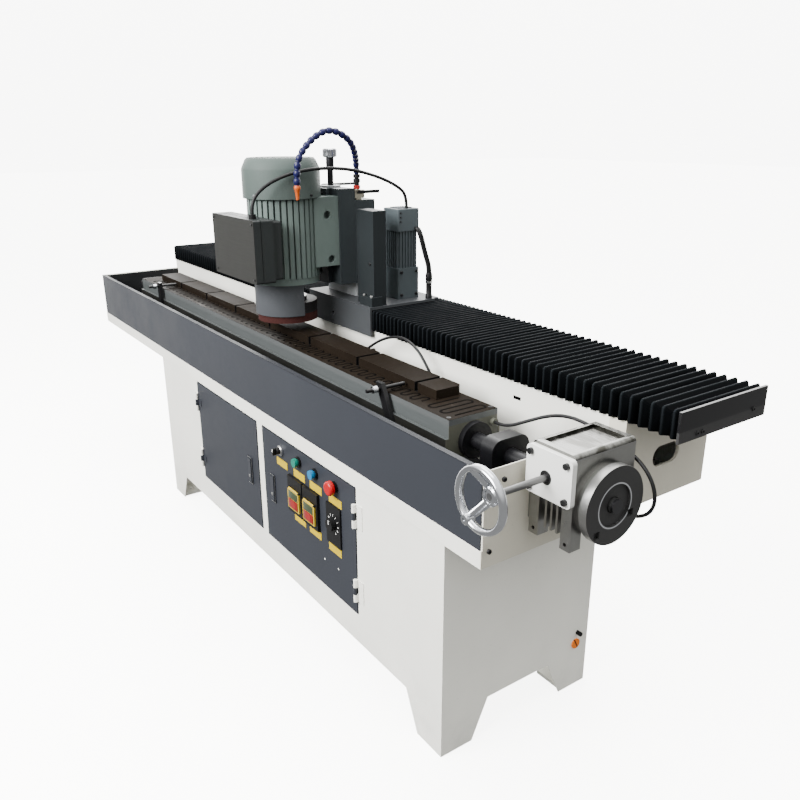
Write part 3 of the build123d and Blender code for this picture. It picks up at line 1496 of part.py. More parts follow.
housing_top = worm_z + housing_over_worm
housing = block(housing_face, housing_block_right, worm_bore_front, housing_back, housing_block_bottom,
                housing_top)
housing = fillet(housing.edges().filter_by(Axis.Y).group_by(Axis.Z)[-1], housing_edge)
housing += rod_x(housing_face, housing_right, chuck_y, level, housing_drum_r)
housing += block(trough_right, housing_face, chuck_y - mount_half, chuck_y + mount_half,
                 level - mount_half,
                 level + mount_half)
leg_bottom = level - leg_drop
for x in (housing_face, housing_block_right - leg_width):
    housing += block(x, x + leg_width, worm_bore_front, worm_bore_front + leg_depth, leg_bottom,
                     housing_block_bottom)
    housing -= rod_y(worm_bore_front, worm_bore_front + leg_depth, x + leg_width / 2,
                     leg_bottom + leg_width / 2,
                     cap_screw_shank_r)
rib_gap = housing_block_width - 2 * leg_width
for step in range(leg_ribs):
    x = housing_face + leg_width + rib_gap * (step + 1) / (leg_ribs + 1) - leg_rib_thick / 2
    housing += block(x, x + leg_rib_thick, worm_bore_front + leg_rib_in, chuck_y - housing_cavity_r,
                     leg_bottom + leg_rib_rise, housing_block_bottom)
housing -= block(housing_face + pocket_margin, housing_block_right - pocket_margin,
                 worm_bore_front + pocket_margin, housing_back - pocket_margin,
                 housing_top - pocket_depth, housing_top)
left_seat = wheel_plane_x - wheel_hub_half
right_seat = wheel_plane_x + wheel_hub_half - gear_bearing_width
housing -= rod_x(trough_right, left_seat, chuck_y, level, trunnion_r + seal_gap)
housing -= rod_x(left_seat, left_seat + gear_bearing_width, chuck_y, level, gear_bearing_r)
housing -= rod_x(left_seat + gear_bearing_width, housing_right, chuck_y, level, housing_cavity_r)
worm_bearing_back = chuck_y + worm_bearing_half - worm_bearing_width
worm_back = chuck_y + worm_bearing_half
housing -= rod_y(worm_bore_front, worm_back, wheel_plane_x, worm_z, worm_bearing_r)
cover_plate_left = housing_face - cover_plate_margin
cover_plate_right = housing_block_right + cover_plate_margin
cover_plate_bottom = housing_block_bottom
cover_plate_top = cover_plate_bottom + cover_plate_height
screw_spots = []
for x in (cover_plate_left + cap_screw_inset, cover_plate_right - cap_screw_inset):
    for z in (cover_plate_bottom + cap_screw_inset, cover_plate_top - cap_screw_inset):
        screw_spots.append((x, z))
cover_front_y = worm_bore_front - cover_plate_thick
screw_end = cover_front_y + cap_screw_shank
for x, z in screw_spots:
    housing -= rod_y(worm_bore_front, screw_end, x, z, cap_screw_shank_r)
save("gearbox_housing", housing)

cover_plate = block(cover_plate_left, cover_plate_right, cover_front_y, worm_bore_front,
                    cover_plate_bottom,
                    cover_plate_top)
cover_plate = fillet(cover_plate.edges().filter_by(Axis.Y), housing_edge)
cover_plate -= rod_y(cover_front_y, worm_bore_front, wheel_plane_x, worm_z, worm_shaft_r + clear)
screws = []
for x, z in screw_spots:
    cover_plate -= rod_y(cover_front_y, worm_bore_front, x, z, cap_screw_shank_r)
    cap_screw = rod_y(cover_front_y - cap_screw_head, cover_front_y, x, z, cap_screw_r)
    screws.append(cap_screw + rod_y(cover_front_y, screw_end, x, z, cap_screw_shank_r - cap_screw_gap))
save("gearbox_cover", cover_plate)
save("cap_screws", *screws)

flange = rod_x(housing_right, housing_right + output_flange_thick, chuck_y, level, output_flange_r)
flange += rod_x(right_seat, housing_right, chuck_y, level, housing_cavity_r)
flange -= rod_x(right_seat, right_seat + gear_bearing_width, chuck_y, level, gear_bearing_r)
flange -= rod_x(right_seat, housing_right + output_flange_thick, chuck_y, level,
                trunnion_end_r + seal_gap)
flange -= rod_x(housing_right + output_flange_thick - flange_recess, housing_right + output_flange_thick,
                chuck_y,
                level, flange_recess_r)
flange_face = housing_right + output_flange_thick
for y, z in flange_pockets:
    flange -= block(flange_face - flange_pocket_depth, flange_face, chuck_y + y - flange_pocket / 2,
                    chuck_y + y + flange_pocket / 2, level + z - flange_pocket / 2,
                    level + z + flange_pocket / 2)
save("output_flange", flange)
bearings = []
for x in (left_seat, right_seat):
    ring = rod_x(x, x + gear_bearing_width, chuck_y, level, gear_bearing_r)
    bearings.append(ring - rod_x(x, x + gear_bearing_width, chuck_y, level, wheel_hub_r + running))
for y in (chuck_y - worm_bearing_half, worm_bearing_back):
    ring = rod_y(y, y + worm_bearing_width, wheel_plane_x, worm_z, worm_bearing_r)
    bearings.append(ring - rod_y(y, y + worm_bearing_width, wheel_plane_x, worm_z,
                                 worm_shaft_r + running))
save("gearbox_bearings", *bearings)

# Cables: motor cable over the head, leads to the chuck, conduits of the gearmotor
motor_bends = offset(motor_cable_middle, (head_x, chuck_y, plate_surface))
motor_route = [(*box_gland, box_top + gland_length), *motor_bends, (*motor_bends[-1][:2], gear_top)]
save("motor_cable", cable("motor cable", motor_route, motor_cable_r))
chuck_datum = (chuck_right, chuck_y, chuck_axis_z)
long_route = [(chuck_right + lead_gland_length, *chuck_gland), *offset(long_lead_middle, chuck_datum)]
long_route.append((trough_right + lead_gland_length, wall_gland_y, wall_gland_z))
short_route = [(bed_gland[0], bed_front - lead_gland_length, bed_gland[1]),
               *offset(short_lead_middle, chuck_datum)]
short_route.append((rear_gland[0], ledge_back + lead_gland_length, rear_gland[1]))
save("chuck_leads", cable("long chuck lead", long_route, lead_r),
     cable("short chuck lead", short_route, lead_r))
conduit_route = offset(conduit_points, (gear_side, gearmotor_y, plate_surface))
conduits = [rod_z(plate_surface, conduit_route[-1][2], *conduit_route[-1][:2], conduit_sleeve_r)]
for shift in (-conduit_r - clear, conduit_r + clear):
    conduits.append(cable("conduit", offset(conduit_route, (0, shift, 0)), conduit_r))
save("carriage_conduits", *conduits)

# Electrical panel and coolant tank inside the cabinet
panel_back = cabinet_back - sheet
panel_left = control_door_x + panel_inset
panel_bottom = shelf_z + panel_lift
panel = block(panel_left, panel_left + panel_width, panel_back - panel_thick, panel_back, panel_bottom,
              panel_bottom + panel_height)
for row in range(contactor_rows):
    for column_index in range(contactor_columns):
        x = panel_left + contactor_margin + column_index * contactor_pitch_x
        z = panel_bottom + contactor_margin + row * contactor_pitch_z
        panel += block(x, x + contactor_width, panel_back - panel_thick - contactor_depth,
                       panel_back - panel_thick, z,
                       z + contactor_height)
save("electrical_panel", panel)
tank_bottom = shelf_z + sheet
tank_left = left_door_x + tank_inset
tank_top = tank_bottom + tank_height
tank = block(tank_left, tank_left + tank_width, tank_front, tank_front + tank_depth, tank_bottom,
             tank_top)
tank -= block(tank_left + tank_wall, tank_left + tank_width - tank_wall, tank_front + tank_wall,
              tank_front + tank_depth - tank_wall, tank_bottom + tank_wall, tank_top)
pump_x = tank_left + tank_width / 2
pump_y = tank_front + tank_depth / 2
tank += block(pump_x - 2 * pump_r, pump_x + 2 * pump_r, tank_front, tank_front + tank_depth, tank_top,
              tank_top + pump_plate)
tank += rod_z(tank_top, tank_top + pump_plate + pump_height, pump_x, pump_y, pump_r)
tank += rod_z(tank_bottom + pump_pipe_length, tank_top, pump_x, pump_y, pump_pipe_r)
save("coolant_unit", tank)
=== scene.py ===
import json
import math
from collections import namedtuple

import bmesh
import bpy
from bpy.props import FloatProperty, FloatVectorProperty, IntProperty, PointerProperty
from mathutils import Euler, Matrix, Vector


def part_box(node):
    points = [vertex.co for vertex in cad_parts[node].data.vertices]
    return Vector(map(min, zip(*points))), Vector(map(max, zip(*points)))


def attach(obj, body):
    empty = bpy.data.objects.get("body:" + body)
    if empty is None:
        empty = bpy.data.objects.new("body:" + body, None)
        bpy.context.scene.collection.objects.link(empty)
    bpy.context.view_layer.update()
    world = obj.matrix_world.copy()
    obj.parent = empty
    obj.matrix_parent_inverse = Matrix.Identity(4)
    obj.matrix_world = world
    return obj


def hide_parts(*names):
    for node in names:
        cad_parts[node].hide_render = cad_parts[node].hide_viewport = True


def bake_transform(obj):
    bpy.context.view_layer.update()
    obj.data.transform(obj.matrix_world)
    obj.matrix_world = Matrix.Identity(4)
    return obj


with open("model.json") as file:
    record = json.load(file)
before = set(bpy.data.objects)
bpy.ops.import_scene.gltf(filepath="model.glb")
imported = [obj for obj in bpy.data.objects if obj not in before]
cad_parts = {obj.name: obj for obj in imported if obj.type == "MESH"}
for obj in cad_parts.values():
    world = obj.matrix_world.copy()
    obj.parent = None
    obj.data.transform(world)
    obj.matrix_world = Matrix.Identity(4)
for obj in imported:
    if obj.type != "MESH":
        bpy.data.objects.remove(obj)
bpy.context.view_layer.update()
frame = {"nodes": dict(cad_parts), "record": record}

bl_info = {
    "name": "Straight knife grinder",
    "version": (1, 0, 0),
    "blender": (4, 5, 0),
    "location": "View3D > Sidebar > Grinder",
    "description": "Builds the looks of a straight knife grinding machine around its packed frame",
    "category": "Object",
}

# Routes of the flexible lines, in metres, in the frame's own axes
MOTOR_CABLE_ROUTE = (
    (-.060, -.205, 1.185), (-.060, -.205, 1.222), (-.051, -.168, 1.262), (-.036, -.105, 1.292),
    (-.024, -.020, 1.308), (-.008, .090, 1.305), (.014, .180, 1.280), (.032, .240, 1.250),
    (.038, .268, 1.222), (.038, .268, 1.183),
)
LONG_LEAD_ROUTE = (
    (.772, .002, .760), (.808, .002, .760), (.858, .020, .786), (.905, .040, .810), (.962, .045, .824),
    (1.026, .045, .820), (1.094, .045, .806), (1.153, .045, .787), (1.186, .045, .757), (1.200, .045, .718),
    (1.188, .045, .682), (1.150, .045, .660), (1.088, .045, .652), (1.032, .045, .652),
)
SHORT_LEAD_ROUTE = (
    (.094, .096, .764), (.094, .076, .764), (.103, .061, .769), (.121, .051, .779), (.156, .051, .801),
    (.200, .053, .828), (.256, .056, .851), (.320, .058, .862), (.382, .058, .845), (.424, .060, .805),
    (.444, .066, .772), (.454, .072, .746), (.456, .072, .725), (.456, .064, .711), (.456, .050, .703),
    (.456, .034, .703),
)
CONDUIT_SHIFT = .0048
CONDUIT_ROUTES = tuple(
    ((.050, .298 + y, 1.122), (.064, .298 + y, 1.122), (.078, .313 + y, 1.040), (.086, .321 + y, 1.005),
     (.086, .321 + y, .985))
    for y in (-CONDUIT_SHIFT, CONDUIT_SHIFT)
)
HOSE_ROUTE = (
    (-.085, .165, 1.283), (-.085, .165, 1.313), (-.032, .128, 1.349), (-.001, .091, 1.389), (-.003, .029, 1.418),
    (-.011, -.020, 1.397), (-.003, -.069, 1.355), (-.004, -.086, 1.317), (-.004, -.086, 1.263),
)


def srgb(red, green, blue):
    """Linear colour of 8-bit screen values."""
    def linear(value):
        share = value / 255
        return share / 12.92 if share <= .04045 else ((share + .055) / 1.055) ** 2.4
    return linear(red), linear(green), linear(blue)


def tint(label, red, green, blue, words):
    return FloatVectorProperty(name=label, description=words, subtype="COLOR", size=3, min=0, max=1,
                               default=srgb(red, green, blue))


def length(label, default, words):
    return FloatProperty(name=label, description=words, unit="LENGTH", default=default, min=0)


class GrinderColours(bpy.types.PropertyGroup):
    """Finishes that a user would repaint."""
    body: tint("Body", 222, 221, 213, "Warm white paint of the cabinet, trough and bed")
    panel: tint("Panels", 41, 43, 48, "Slate paint of the fascia and doors")
    motor: tint("Motor", 89, 100, 96, "Grey-green paint of the grinding motor")
    column: tint("Column", 45, 50, 52, "Dark paint of the column and drive")
    saddle: tint("Saddle", 56, 58, 60, "Grey paint of the saddle")
    hood: tint("Wheel hood", 61, 63, 66, "Grey paint of the wheel hood")
    bellows: tint("Bellows", 4, 5, 6, "Coated cloth of the way covers")
    pole: tint("Pole plate", 26, 21, 16, "Brown film on the magnetic plate")
    hose: tint("Coolant hose", 16, 17, 58, "Blue beads of the coolant hose")
    nozzle: tint("Nozzle", 168, 74, 22, "Orange tip of the coolant hose")
    wheel: tint("Grinding wheel", 47, 24, 22, "Red-brown abrasive of the cup wheel")


class GrinderSizes(bpy.types.PropertyGroup):
    """Sizes of the pieces made here."""
    pleat_fold: length("Pleat fold", .012, "Depth of a pleat from its ridge to its valley")
    pleat_land: length("Pleat land", .003, "Width of a pleat's flat ridge")
    pleat_corner: length("Pleat corner", .004, "Chamfer of a pleat's upper corners")
    right_pleats: IntProperty(name="Right pleats", description="Pleats of the right cover", default=51, min=12)
    left_pleats: IntProperty(name="Left pleats", description="Pleats of the left cover", default=64, min=12)
    cable: length("Motor cable", .005, "Radius of the motor cable")
    lead: length("Chuck leads", .004, "Radius of the chuck's leads")
    conduit: length("Conduits", .0045, "Radius of the drive's conduits")
    bead: length("Hose bead", .010, "Radius of a hose bead")
    bead_neck: length("Hose neck", .007, "Radius of the hose between two beads")
    beads: IntProperty(name="Hose beads", description="Beads of the coolant hose", default=20, min=6)
    inlay_pitch: length("Inlay pitch", .040, "Distance between two hairpins of the pole plate's inlay")
    inlay_width: length("Inlay width", .0062, "Width of the inlay's ribbon")


# Shader expressions
class Socket:
    """A shader output that Python arithmetic turns into Math nodes."""

    def __init__(self, finish, output):
        self.finish = finish
        self.output = output

    def maths(self, operation, *values):
        return self.finish.node("ShaderNodeMath", {"operation": operation}, dict(enumerate(values)))

    def __add__(self, other):
        return self.maths("ADD", self, other)

    def __sub__(self, other):
        return self.maths("SUBTRACT", self, other)

    def __rsub__(self, other):
        return self.maths("SUBTRACT", other, self)

    def __mul__(self, other):
        return self.maths("MULTIPLY", self, other)

    def __pow__(self, other):
        return self.maths("POWER", self, other)

    def __abs__(self):
        return self.maths("ABSOLUTE", self)

    def __lt__(self, other):
        return self.maths("LESS_THAN", self, other)

    def __gt__(self, other):
        return self.maths("GREATER_THAN", self, other)

    __radd__ = __add__
    __rmul__ = __mul__

    def wrapped(self, low, high):
        return self.maths("WRAP", self, high, low)

    def ranged(self, low, high):
        """0 at low, 1 at high, held outside."""
        return self.finish.node("ShaderNodeMapRange", {"interpolation_type": "SMOOTHSTEP"},
                                {"Value": self, "From Min": low, "From Max": high})

    def within(self, low, high):
        """1 between low and high, 0 outside."""
        return (self > low) * (self < high)


Coat = namedtuple("Coat", "colour rough metal height")


def shade(colour, factor):
    return tuple(min(1, channel * factor) for channel in colour)


class Finish:
    """The nodes of one material, or of the studio's light."""

    def __init__(self, holder, shader="Principled BSDF"):
        holder.use_nodes = True
        self.holder = holder
        self.tree = holder.node_tree
        self.shader = self.tree.nodes[shader]

    def link(self, value, target):
        if isinstance(value, Socket):
            self.tree.links.new(value.output, target)
        elif isinstance(value, tuple) and len(value) == 3 and len(target.default_value) == 4:
            target.default_value = (*value, 1)
        else:
            target.default_value = value

    def node(self, kind, settings=None, sockets=None, output=0):
        made = self.tree.nodes.new(kind)
        for key, value in (settings or {}).items():
            setattr(made, key, value)
        for key, value in (sockets or {}).items():
            self.link(value, made.inputs[key])
        return Socket(self, made.outputs[output])

    def place(self, stretch=(1, 1, 1)):
        """Object coordinates, stretched along the axes."""
        spot = self.node("ShaderNodeTexCoord", output="Object")
        return self.node("ShaderNodeMapping", {}, {"Vector": spot, "Scale": stretch})

    def axes(self, source="Object"):
        spot = self.node("ShaderNodeTexCoord", output=source)
        return [self.node("ShaderNodeSeparateXYZ", {}, {"Vector": spot}, output=k) for k in range(3)]

    def noise(self, scale, detail=2, rough=.5, stretch=(1, 1, 1)):
        return self.node("ShaderNodeTexNoise", {},
                         {"Vector": self.place(stretch), "Scale": scale, "Detail": detail, "Roughness": rough})

    def blend(self, share, first, second):
        """first where share is 0, second where it is 1."""
        return self.node("ShaderNodeMix", {"data_type": "RGBA"}, {0: share, 6: first, 7: second}, output=2)

    def paint(self, colour, rough=.42, dust=.12, peel=.00003):
        """Sprayed enamel: orange peel, a film of dust and a few specks."""
        film = self.noise(3.5, 4, .6).ranged(.35, .75)
        speck = self.noise(150, 3).ranged(.66, .74)
        tone = self.blend(film, shade(colour, 1 - dust), colour)
        return Coat(self.blend(speck * .3, tone, shade(colour, .7)), rough + film * .12, 0, self.noise(700) * peel)

    def metal(self, colour, rough=.3, along=(1, 1, 1), grain=420, depth=.000012, full=1):
        """Bare metal with the lay of its last cut."""
        lay = self.noise(grain, 3, .6, along)
        cloud = self.noise(9, 3)
        tone = self.blend(lay, shade(colour, .78), colour)
        return Coat(tone, rough + lay * .12 + cloud * .1, full, lay * depth)

    def plastic(self, colour, rough=.42, grain=.000012):
        """Moulded plastic or rubber with a fine spark texture."""
        cloud = self.noise(25, 3)
        tone = self.blend(cloud, shade(colour, .85), shade(colour, 1.1))
        return Coat(tone, rough + cloud * .12, 0, self.noise(900) * grain)

    def over(self, under, mask, upper):
        """One coat over another where the mask is 1."""
        mixed = [low + (high - low) * mask for low, high in zip(under[1:], upper[1:])]
        return Coat(self.blend(mask, under.colour, upper.colour), *mixed)

    def coated(self, coat, gloss=.25):
        """Sends a coat to the shader and gives the finished material."""
        bump = self.node("ShaderNodeBump", {}, {"Height": coat.height, "Strength": 1, "Distance": 1})
        for key, value in (("Base Color", coat.colour), ("Roughness", coat.rough), ("Metallic", coat.metal),
                           ("Normal", bump), ("Specular IOR Level", gloss)):
            self.link(value, self.shader.inputs[key])
        return self.holder


# Finishes
BLACK = srgb(12, 12, 13)
CHROME = srgb(214, 216, 220)


def white_paint(finish, tone):
    """Warm white enamel with painted shade inside the trough and on the right ends, painted light and shade inside the
    bed, a slate front lip painted darker as painted shade, and the end's earth screw.
    """
    x, y, z = finish.axes()
    body = finish.paint(tuple(tone.body), .34, .07)
    # Darker and mottled towards the floor.
    low_mottle = finish.noise(6, 4, .65).ranged(.4, .75)
    body = finish.over(body, (1 - z.ranged(.0, .22)) * low_mottle * .5, finish.paint(shade(tone.body, .6), .6))
    # Painted shade: the inside of the trough is painted near-black.
    trough = x.within(-1.6375, 1.0195) * y.within(-.2455, .1055) * z.within(.579, .7875)
    body = finish.over(body, trough, finish.paint(srgb(22, 23, 24), .5, .3))
    # Inside the bed's hollow: pale for the grey fill seen in its slot, painted paler as painted light over the
    # hollow's shade.
    hollow = x.within(-1.6545, 1.0645) * y.within(.1065, .4065) * z.within(.6155, .8295)
    body = finish.over(body, hollow, finish.paint(srgb(232, 232, 226), .5, .1))
    # Painted shade: the hollow is painted black away from the right end.
    body = finish.over(body, hollow * (x < .9), finish.paint(BLACK, .6))
    # The front lip is slate like the panels, painted a darker copy as painted shade against the top light's
    # reflection.
    lip = (y < -.2365) * (z > .7872)
    body = finish.over(body, lip, finish.paint(shade(tone.panel, .7), .5))
    # Painted shade: the right ends are painted darker, with a warm tint of painted bounce light.
    body = finish.over(body, x > 1.0195, finish.paint(srgb(198, 194, 180), .4, .1))
    end = (x > .8977) * (z < .2)
    disc = end * (((y - .2) ** 2 + (z - .133) ** 2) < .0148 ** 2)
    body = finish.over(body, disc, finish.plastic(srgb(214, 110, 24), .35))
    body = finish.over(body, disc * (abs(y - .2 + (z - .133) * .5) < .0018), finish.plastic(BLACK, .5))
    stud = end * (((y - .205) ** 2 + (z - .165) ** 2) < .0068 ** 2)
    return finish.coated(finish.over(body, stud, finish.plastic(BLACK, .4)), .12)


def black_paint(finish, tone):
    """Glossy black, with the bright ring of the output flange."""
    x, y, z = finish.axes()
    flange = (x > 1.160) * (z < .85)
    distance = ((y + .057) ** 2 + (z - .730) ** 2) ** .5
    coat = finish.over(finish.paint(srgb(15, 15, 17), .28, .2), flange, finish.paint(srgb(46, 46, 46), .45, .2))
    coat = finish.over(coat, flange * distance.within(.0812, .0850), finish.metal(srgb(150, 150, 148), .25))
    ring = (x > 1.1825) * distance.within(.0448, .0480)
    coat = finish.over(coat, ring, finish.metal(CHROME, .12))
    shaft = (x > 1.1835) * (distance < .017)
    return finish.coated(finish.over(coat, shaft, finish.metal(srgb(70, 70, 72), .3)), .22)


def steel(finish, tone):
    """Turned steel, with the doors' hinges painted over."""
    x, y, z = finish.axes()
    hinge = (y < -.2449) * z.within(.22, .54)
    return finish.coated(finish.over(finish.metal(srgb(112, 112, 112), .28), hinge, finish.paint(tuple(tone.body), .34, .07)))


def ground_steel(finish, tone):
    """Ground sides of the chuck above its dull ledge."""
    x, y, z = finish.axes()
    ground = finish.metal(srgb(84, 88, 88), .32, (.05, 1, 1), 380, .000012, .45)
    ledge = finish.paint(srgb(20, 20, 17), .5, .25)
    coat = finish.over(ground, z < .7446, ledge)
    return finish.coated(finish.over(coat, (x > .7615) + (x < -1.4375), finish.paint(srgb(78, 79, 70), .4, .2)), .3)


def pole_metal(finish, tone):
    """Brown film on the plate's top and its blocks, black painted shade in the gaps between the blocks, ground steel
    on its edges.
    """
    x, y, z = finish.axes()
    cloud = finish.noise(8, 4, .65).ranged(.3, .7)
    film = finish.paint(tuple(tone.pole), .5, .25)
    film = finish.over(film, cloud * .6, finish.paint(shade(tone.pole, .62), .5, .2))
    scratch = finish.noise(60, 4, .7, (.05, 1, 1)).ranged(.64, .7)
    film = finish.over(film, scratch * .3, finish.metal(srgb(96, 88, 80), .4))
    # Painted shade: the gaps between the blocks are painted black.
    gap_shade = abs((x + 1.111).wrapped(-.1385, .1385)) < .0068
    film = finish.over(film, gap_shade * (y > -.069) * (z < .8147), finish.paint(BLACK, .6))
    edge = finish.metal(srgb(92, 95, 95), .32, (.05, 1, 1), 380, .000012, .45)
    return finish.coated(finish.over(film, z < .7905, edge), .02)


def gearbox_metal(finish, tone):
    """Polished casting whose top carries a painted reflection of the darker room above."""
    x, y, z = finish.axes()
    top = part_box("gearbox_housing")[1].z
    coat = finish.metal(srgb(150, 150, 147), .2, (1, 1, 1), 60, .000002)
    # Painted reflection: the top is painted dark, streaked with the casting's own tone.
    reflection_streak = finish.noise(26, 3, .6, (.25, 1, 1)).ranged(.4, .6)
    painted_reflection = finish.over(finish.metal(srgb(70, 69, 64), .1, (1, 1, 1), 60, .000002), reflection_streak * .6, coat)
    return finish.coated(finish.over(coat, z > top - .008, painted_reflection), .5)


def inlay_resin(finish, tone):
    """Dull black resin between the poles."""
    return finish.coated(finish.plastic(srgb(9, 8, 7), .7), .01)


def abrasive(finish, tone):
    """Bonded abrasive: coarse open grain, its top painted near-black as painted shade under the hood."""
    x, y, z = finish.axes()
    grit = finish.node("ShaderNodeTexVoronoi", {}, {"Vector": finish.place(), "Scale": 700})
    grain = finish.blend(grit.ranged(.1, .7), shade(tone.wheel, .6), shade(tone.wheel, 1.25))
    # Painted shade: the top of the wheel, under the hood, is painted near-black.
    coat = finish.over(Coat(grain, .92, 0, grit * .00025), z > .8722, finish.paint(srgb(26, 24, 25), .5))
    return finish.coated(coat, .1)


def chrome_plate(finish, tone):
    """Plated handwheel and knob; the feed screw's shank stays dark."""
    x, y, z = finish.axes()
    coat = finish.metal(srgb(196, 198, 202), .05, (1, 1, 1), 60, .000004)
    coat = finish.over(coat, z.within(.95, 1.3332), finish.metal(srgb(44, 44, 46), .35))
    return finish.coated(finish.over(coat, z.within(1.2430, 1.2486), finish.paint(srgb(150, 152, 154))), .5)


def valve_metal(finish, tone):
    """Pale valve block with a red ring, black stem and pipe."""
    x, y, z = finish.axes()
    coat = finish.over(finish.metal(srgb(196, 190, 172), .3), z > 1.2385, finish.plastic(srgb(150, 26, 24), .35))
    coat = finish.over(coat, (z > 1.2505) + (x < -.1025), finish.plastic(BLACK, .4))
    return finish.coated(coat, .3)


def box_plastic(finish, tone):
    """Terminal box: warm brushed lid, black sides and a black top."""
    x, y, z = finish.axes()
    lid = finish.metal(srgb(33, 33, 31), .45, (.03, 1, 1), 300, .00003, .2)
    coat = finish.over(finish.paint(srgb(36, 39, 39), .4, .2), y < -.2253, lid)
    return finish.coated(finish.over(coat, z > 1.1725, finish.plastic(BLACK, .4)), .2)


def dark_paint(finish, tone):
    """Dark grey column, the cover painted darker as painted shade, and a paler gearmotor."""
    x, y, z = finish.axes()
    # Painted shade: the cover gets a darker copy of the column's paint.
    coat = finish.over(finish.paint(tuple(tone.column), .42), (x > -.004) * (y < .2),
                       finish.paint(shade(tone.column, .5), .42))
    drive = finish.paint(shade(tone.column, 2.3), .45, .15)
    return finish.coated(finish.over(coat, (x > -.035) * (y > .2), drive), .15)


def saddle_paint(finish, tone):
    """Grey saddle with a pale plinth under the column, painted paler still as painted light over the shade it sits in.
    """
    x, y, z = finish.axes()
    # The plinth is pale grey, lightened further as painted light over the shade of the column and motor.
    coat = finish.over(finish.paint(tuple(tone.saddle), .42, .12), z > .9035, finish.paint(srgb(146, 149, 150), .4))
    return finish.coated(coat, .12)


def cover_paint(finish, tone):
    """White worm cover with a dark ring where the shaft leaves it."""
    x, y, z = finish.axes()
    ring = (((x - 1.090) ** 2 + (z - .780) ** 2) < .015 ** 2) * (y < -.1535)
    return finish.coated(finish.over(finish.paint(srgb(206, 206, 202), .3, .06), ring, finish.plastic(BLACK, .4)), .35)


def black_steel(finish, tone):
    """Blued stops and screws; the stop rods' nuts are plated."""
    x, y, z = finish.axes()
    nut = y.within(-.1727, -.1593) * (z > .79) * (x < .9)
    return finish.coated(finish.over(finish.paint(srgb(17, 17, 18), .32, .15), nut, finish.metal(CHROME, .12)), .3)


def black_plastic(finish, tone):
    """Black fittings with plated bezels and yellow tag plates; the latches are slate."""
    x, y, z = finish.axes()
    coat = finish.over(finish.plastic(BLACK, .35), (z > .5135) * (y > -.2531) * (x < .165), finish.metal(CHROME, .14))
    tags = z.within(.4747, .5015) + z.within(.32, .3562) * (x > .15)
    coat = finish.over(coat, tags * (y > -.2485), finish.plastic(srgb(172, 146, 2), .4))
    return finish.coated(finish.over(coat, x < .09, finish.paint(tuple(tone.panel), .35)), .2)


def yellow_plastic(finish, tone):
    """Yellow switch covers with a red push button."""
    x, y, z = finish.axes()
    coat = finish.over(finish.plastic(srgb(158, 134, 42), .35), y < -.2617, finish.plastic(srgb(120, 20, 18), .3))
    return finish.coated(coat, .35)


def bellows_cloth(finish, tone):
    """Coated cloth: a fine weave, paler along the ridges as wear and painted highlight."""
    weave = [finish.node("ShaderNodeTexWave", {"bands_direction": side},
                         {"Vector": finish.place(), "Scale": 240, "Distortion": .4}) for side in "YZ"]
    dust = finish.noise(14, 4, .65).ranged(.45, .8)
    ridge = finish.node("ShaderNodeAttribute", {"attribute_name": "ridge"}, output="Fac").ranged(.8, 1)
    colour = finish.blend(dust * .4, tuple(tone.bellows), shade(tone.bellows, 2.0))
    # Paler ridges: partly wear, partly a painted highlight.
    colour = finish.blend(ridge * .3, colour, srgb(36, 40, 43))
    return finish.coated(Coat(colour, .7 + dust * .2, 0, (weave[0] + weave[1]) * .00002), .02)


FINISHES = {}


def finish_of(name):
    """The named finish, made on first use."""
    if name in FINISHES:
        return FINISHES[name]
    tone = bpy.context.scene.grinder_colours
    finish = Finish(bpy.data.materials.new(name))
    special = (white_paint, black_paint, steel, ground_steel, pole_metal, gearbox_metal, inlay_resin, abrasive, chrome_plate, valve_metal,
               box_plastic, dark_paint, saddle_paint, cover_paint, black_steel, black_plastic, yellow_plastic, bellows_cloth)
    paints = {"slate_paint": (tuple(tone.panel), .38),
              "motor_paint": (tuple(tone.motor), .36), "hood_paint": (tuple(tone.hood), .4),
              "tank_paint": (srgb(92, 96, 100), .5), "rivet_paint": (srgb(214, 214, 208), .35),
              # The cowl's paint is a darker copy of the motor paint, as painted shade.
              "grey_paint": (srgb(70, 73, 77), .4), "cowl_shade_paint": (shade(tone.motor, .6), .45)}
    metals = {"bronze": (srgb(168, 128, 72), .34), "bright_steel": (srgb(190, 190, 188), .2)}
    plastics = {"cable_jacket": (BLACK, .42), "hose_plastic": (tuple(tone.hose), .3),
                "nozzle_plastic": (tuple(tone.nozzle), .35), "panel_plastic": (srgb(190, 192, 190), .5),
                "window_plastic": (srgb(46, 54, 38), .3), "push_plastic": (srgb(106, 22, 18), .3),
                "white_print": (srgb(226, 226, 222), .5)}
    buttons = {"green_plastic": (srgb(10, 96, 82), .25), "blue_plastic": (srgb(14, 92, 134), .25),
               "red_plastic": (srgb(148, 8, 14), .2)}
    makers = {maker.__name__: maker for maker in special}
    if name in makers:
        FINISHES[name] = makers[name](finish, tone)
    elif name in paints:
        FINISHES[name] = finish.coated(finish.paint(*paints[name]), .12)
    elif name in metals:
        FINISHES[name] = finish.coated(finish.metal(*metals[name]), .5)
    elif name in buttons:
        x, y, z = finish.axes()
        cap = finish.over(finish.plastic(BLACK, .4), y < -.2500, finish.plastic(*buttons[name]))
        FINISHES[name] = finish.coated(cap)
    else:
        FINISHES[name] = finish.coated(finish.plastic(*plastics[name]))
    return FINISHES[name]


# Mesh helpers
def piece(name, shape, finish, smooth=35):
    """A mesh object made from a bmesh, with its finish; the bmesh is spent."""
    mesh = bpy.data.meshes.new(name)
    shape.to_mesh(mesh)
    shape.free()
    return dressed(name, mesh, finish, smooth)


def dressed(name, mesh, finish, smooth=35):
    mesh.shade_smooth()
    mesh.set_sharp_from_angle(angle=math.radians(smooth))
    mesh.materials.clear()
    mesh.materials.append(finish_of(finish))
    made = bpy.data.objects.new(name, mesh)
    bpy.context.scene.collection.objects.link(made)
    return made


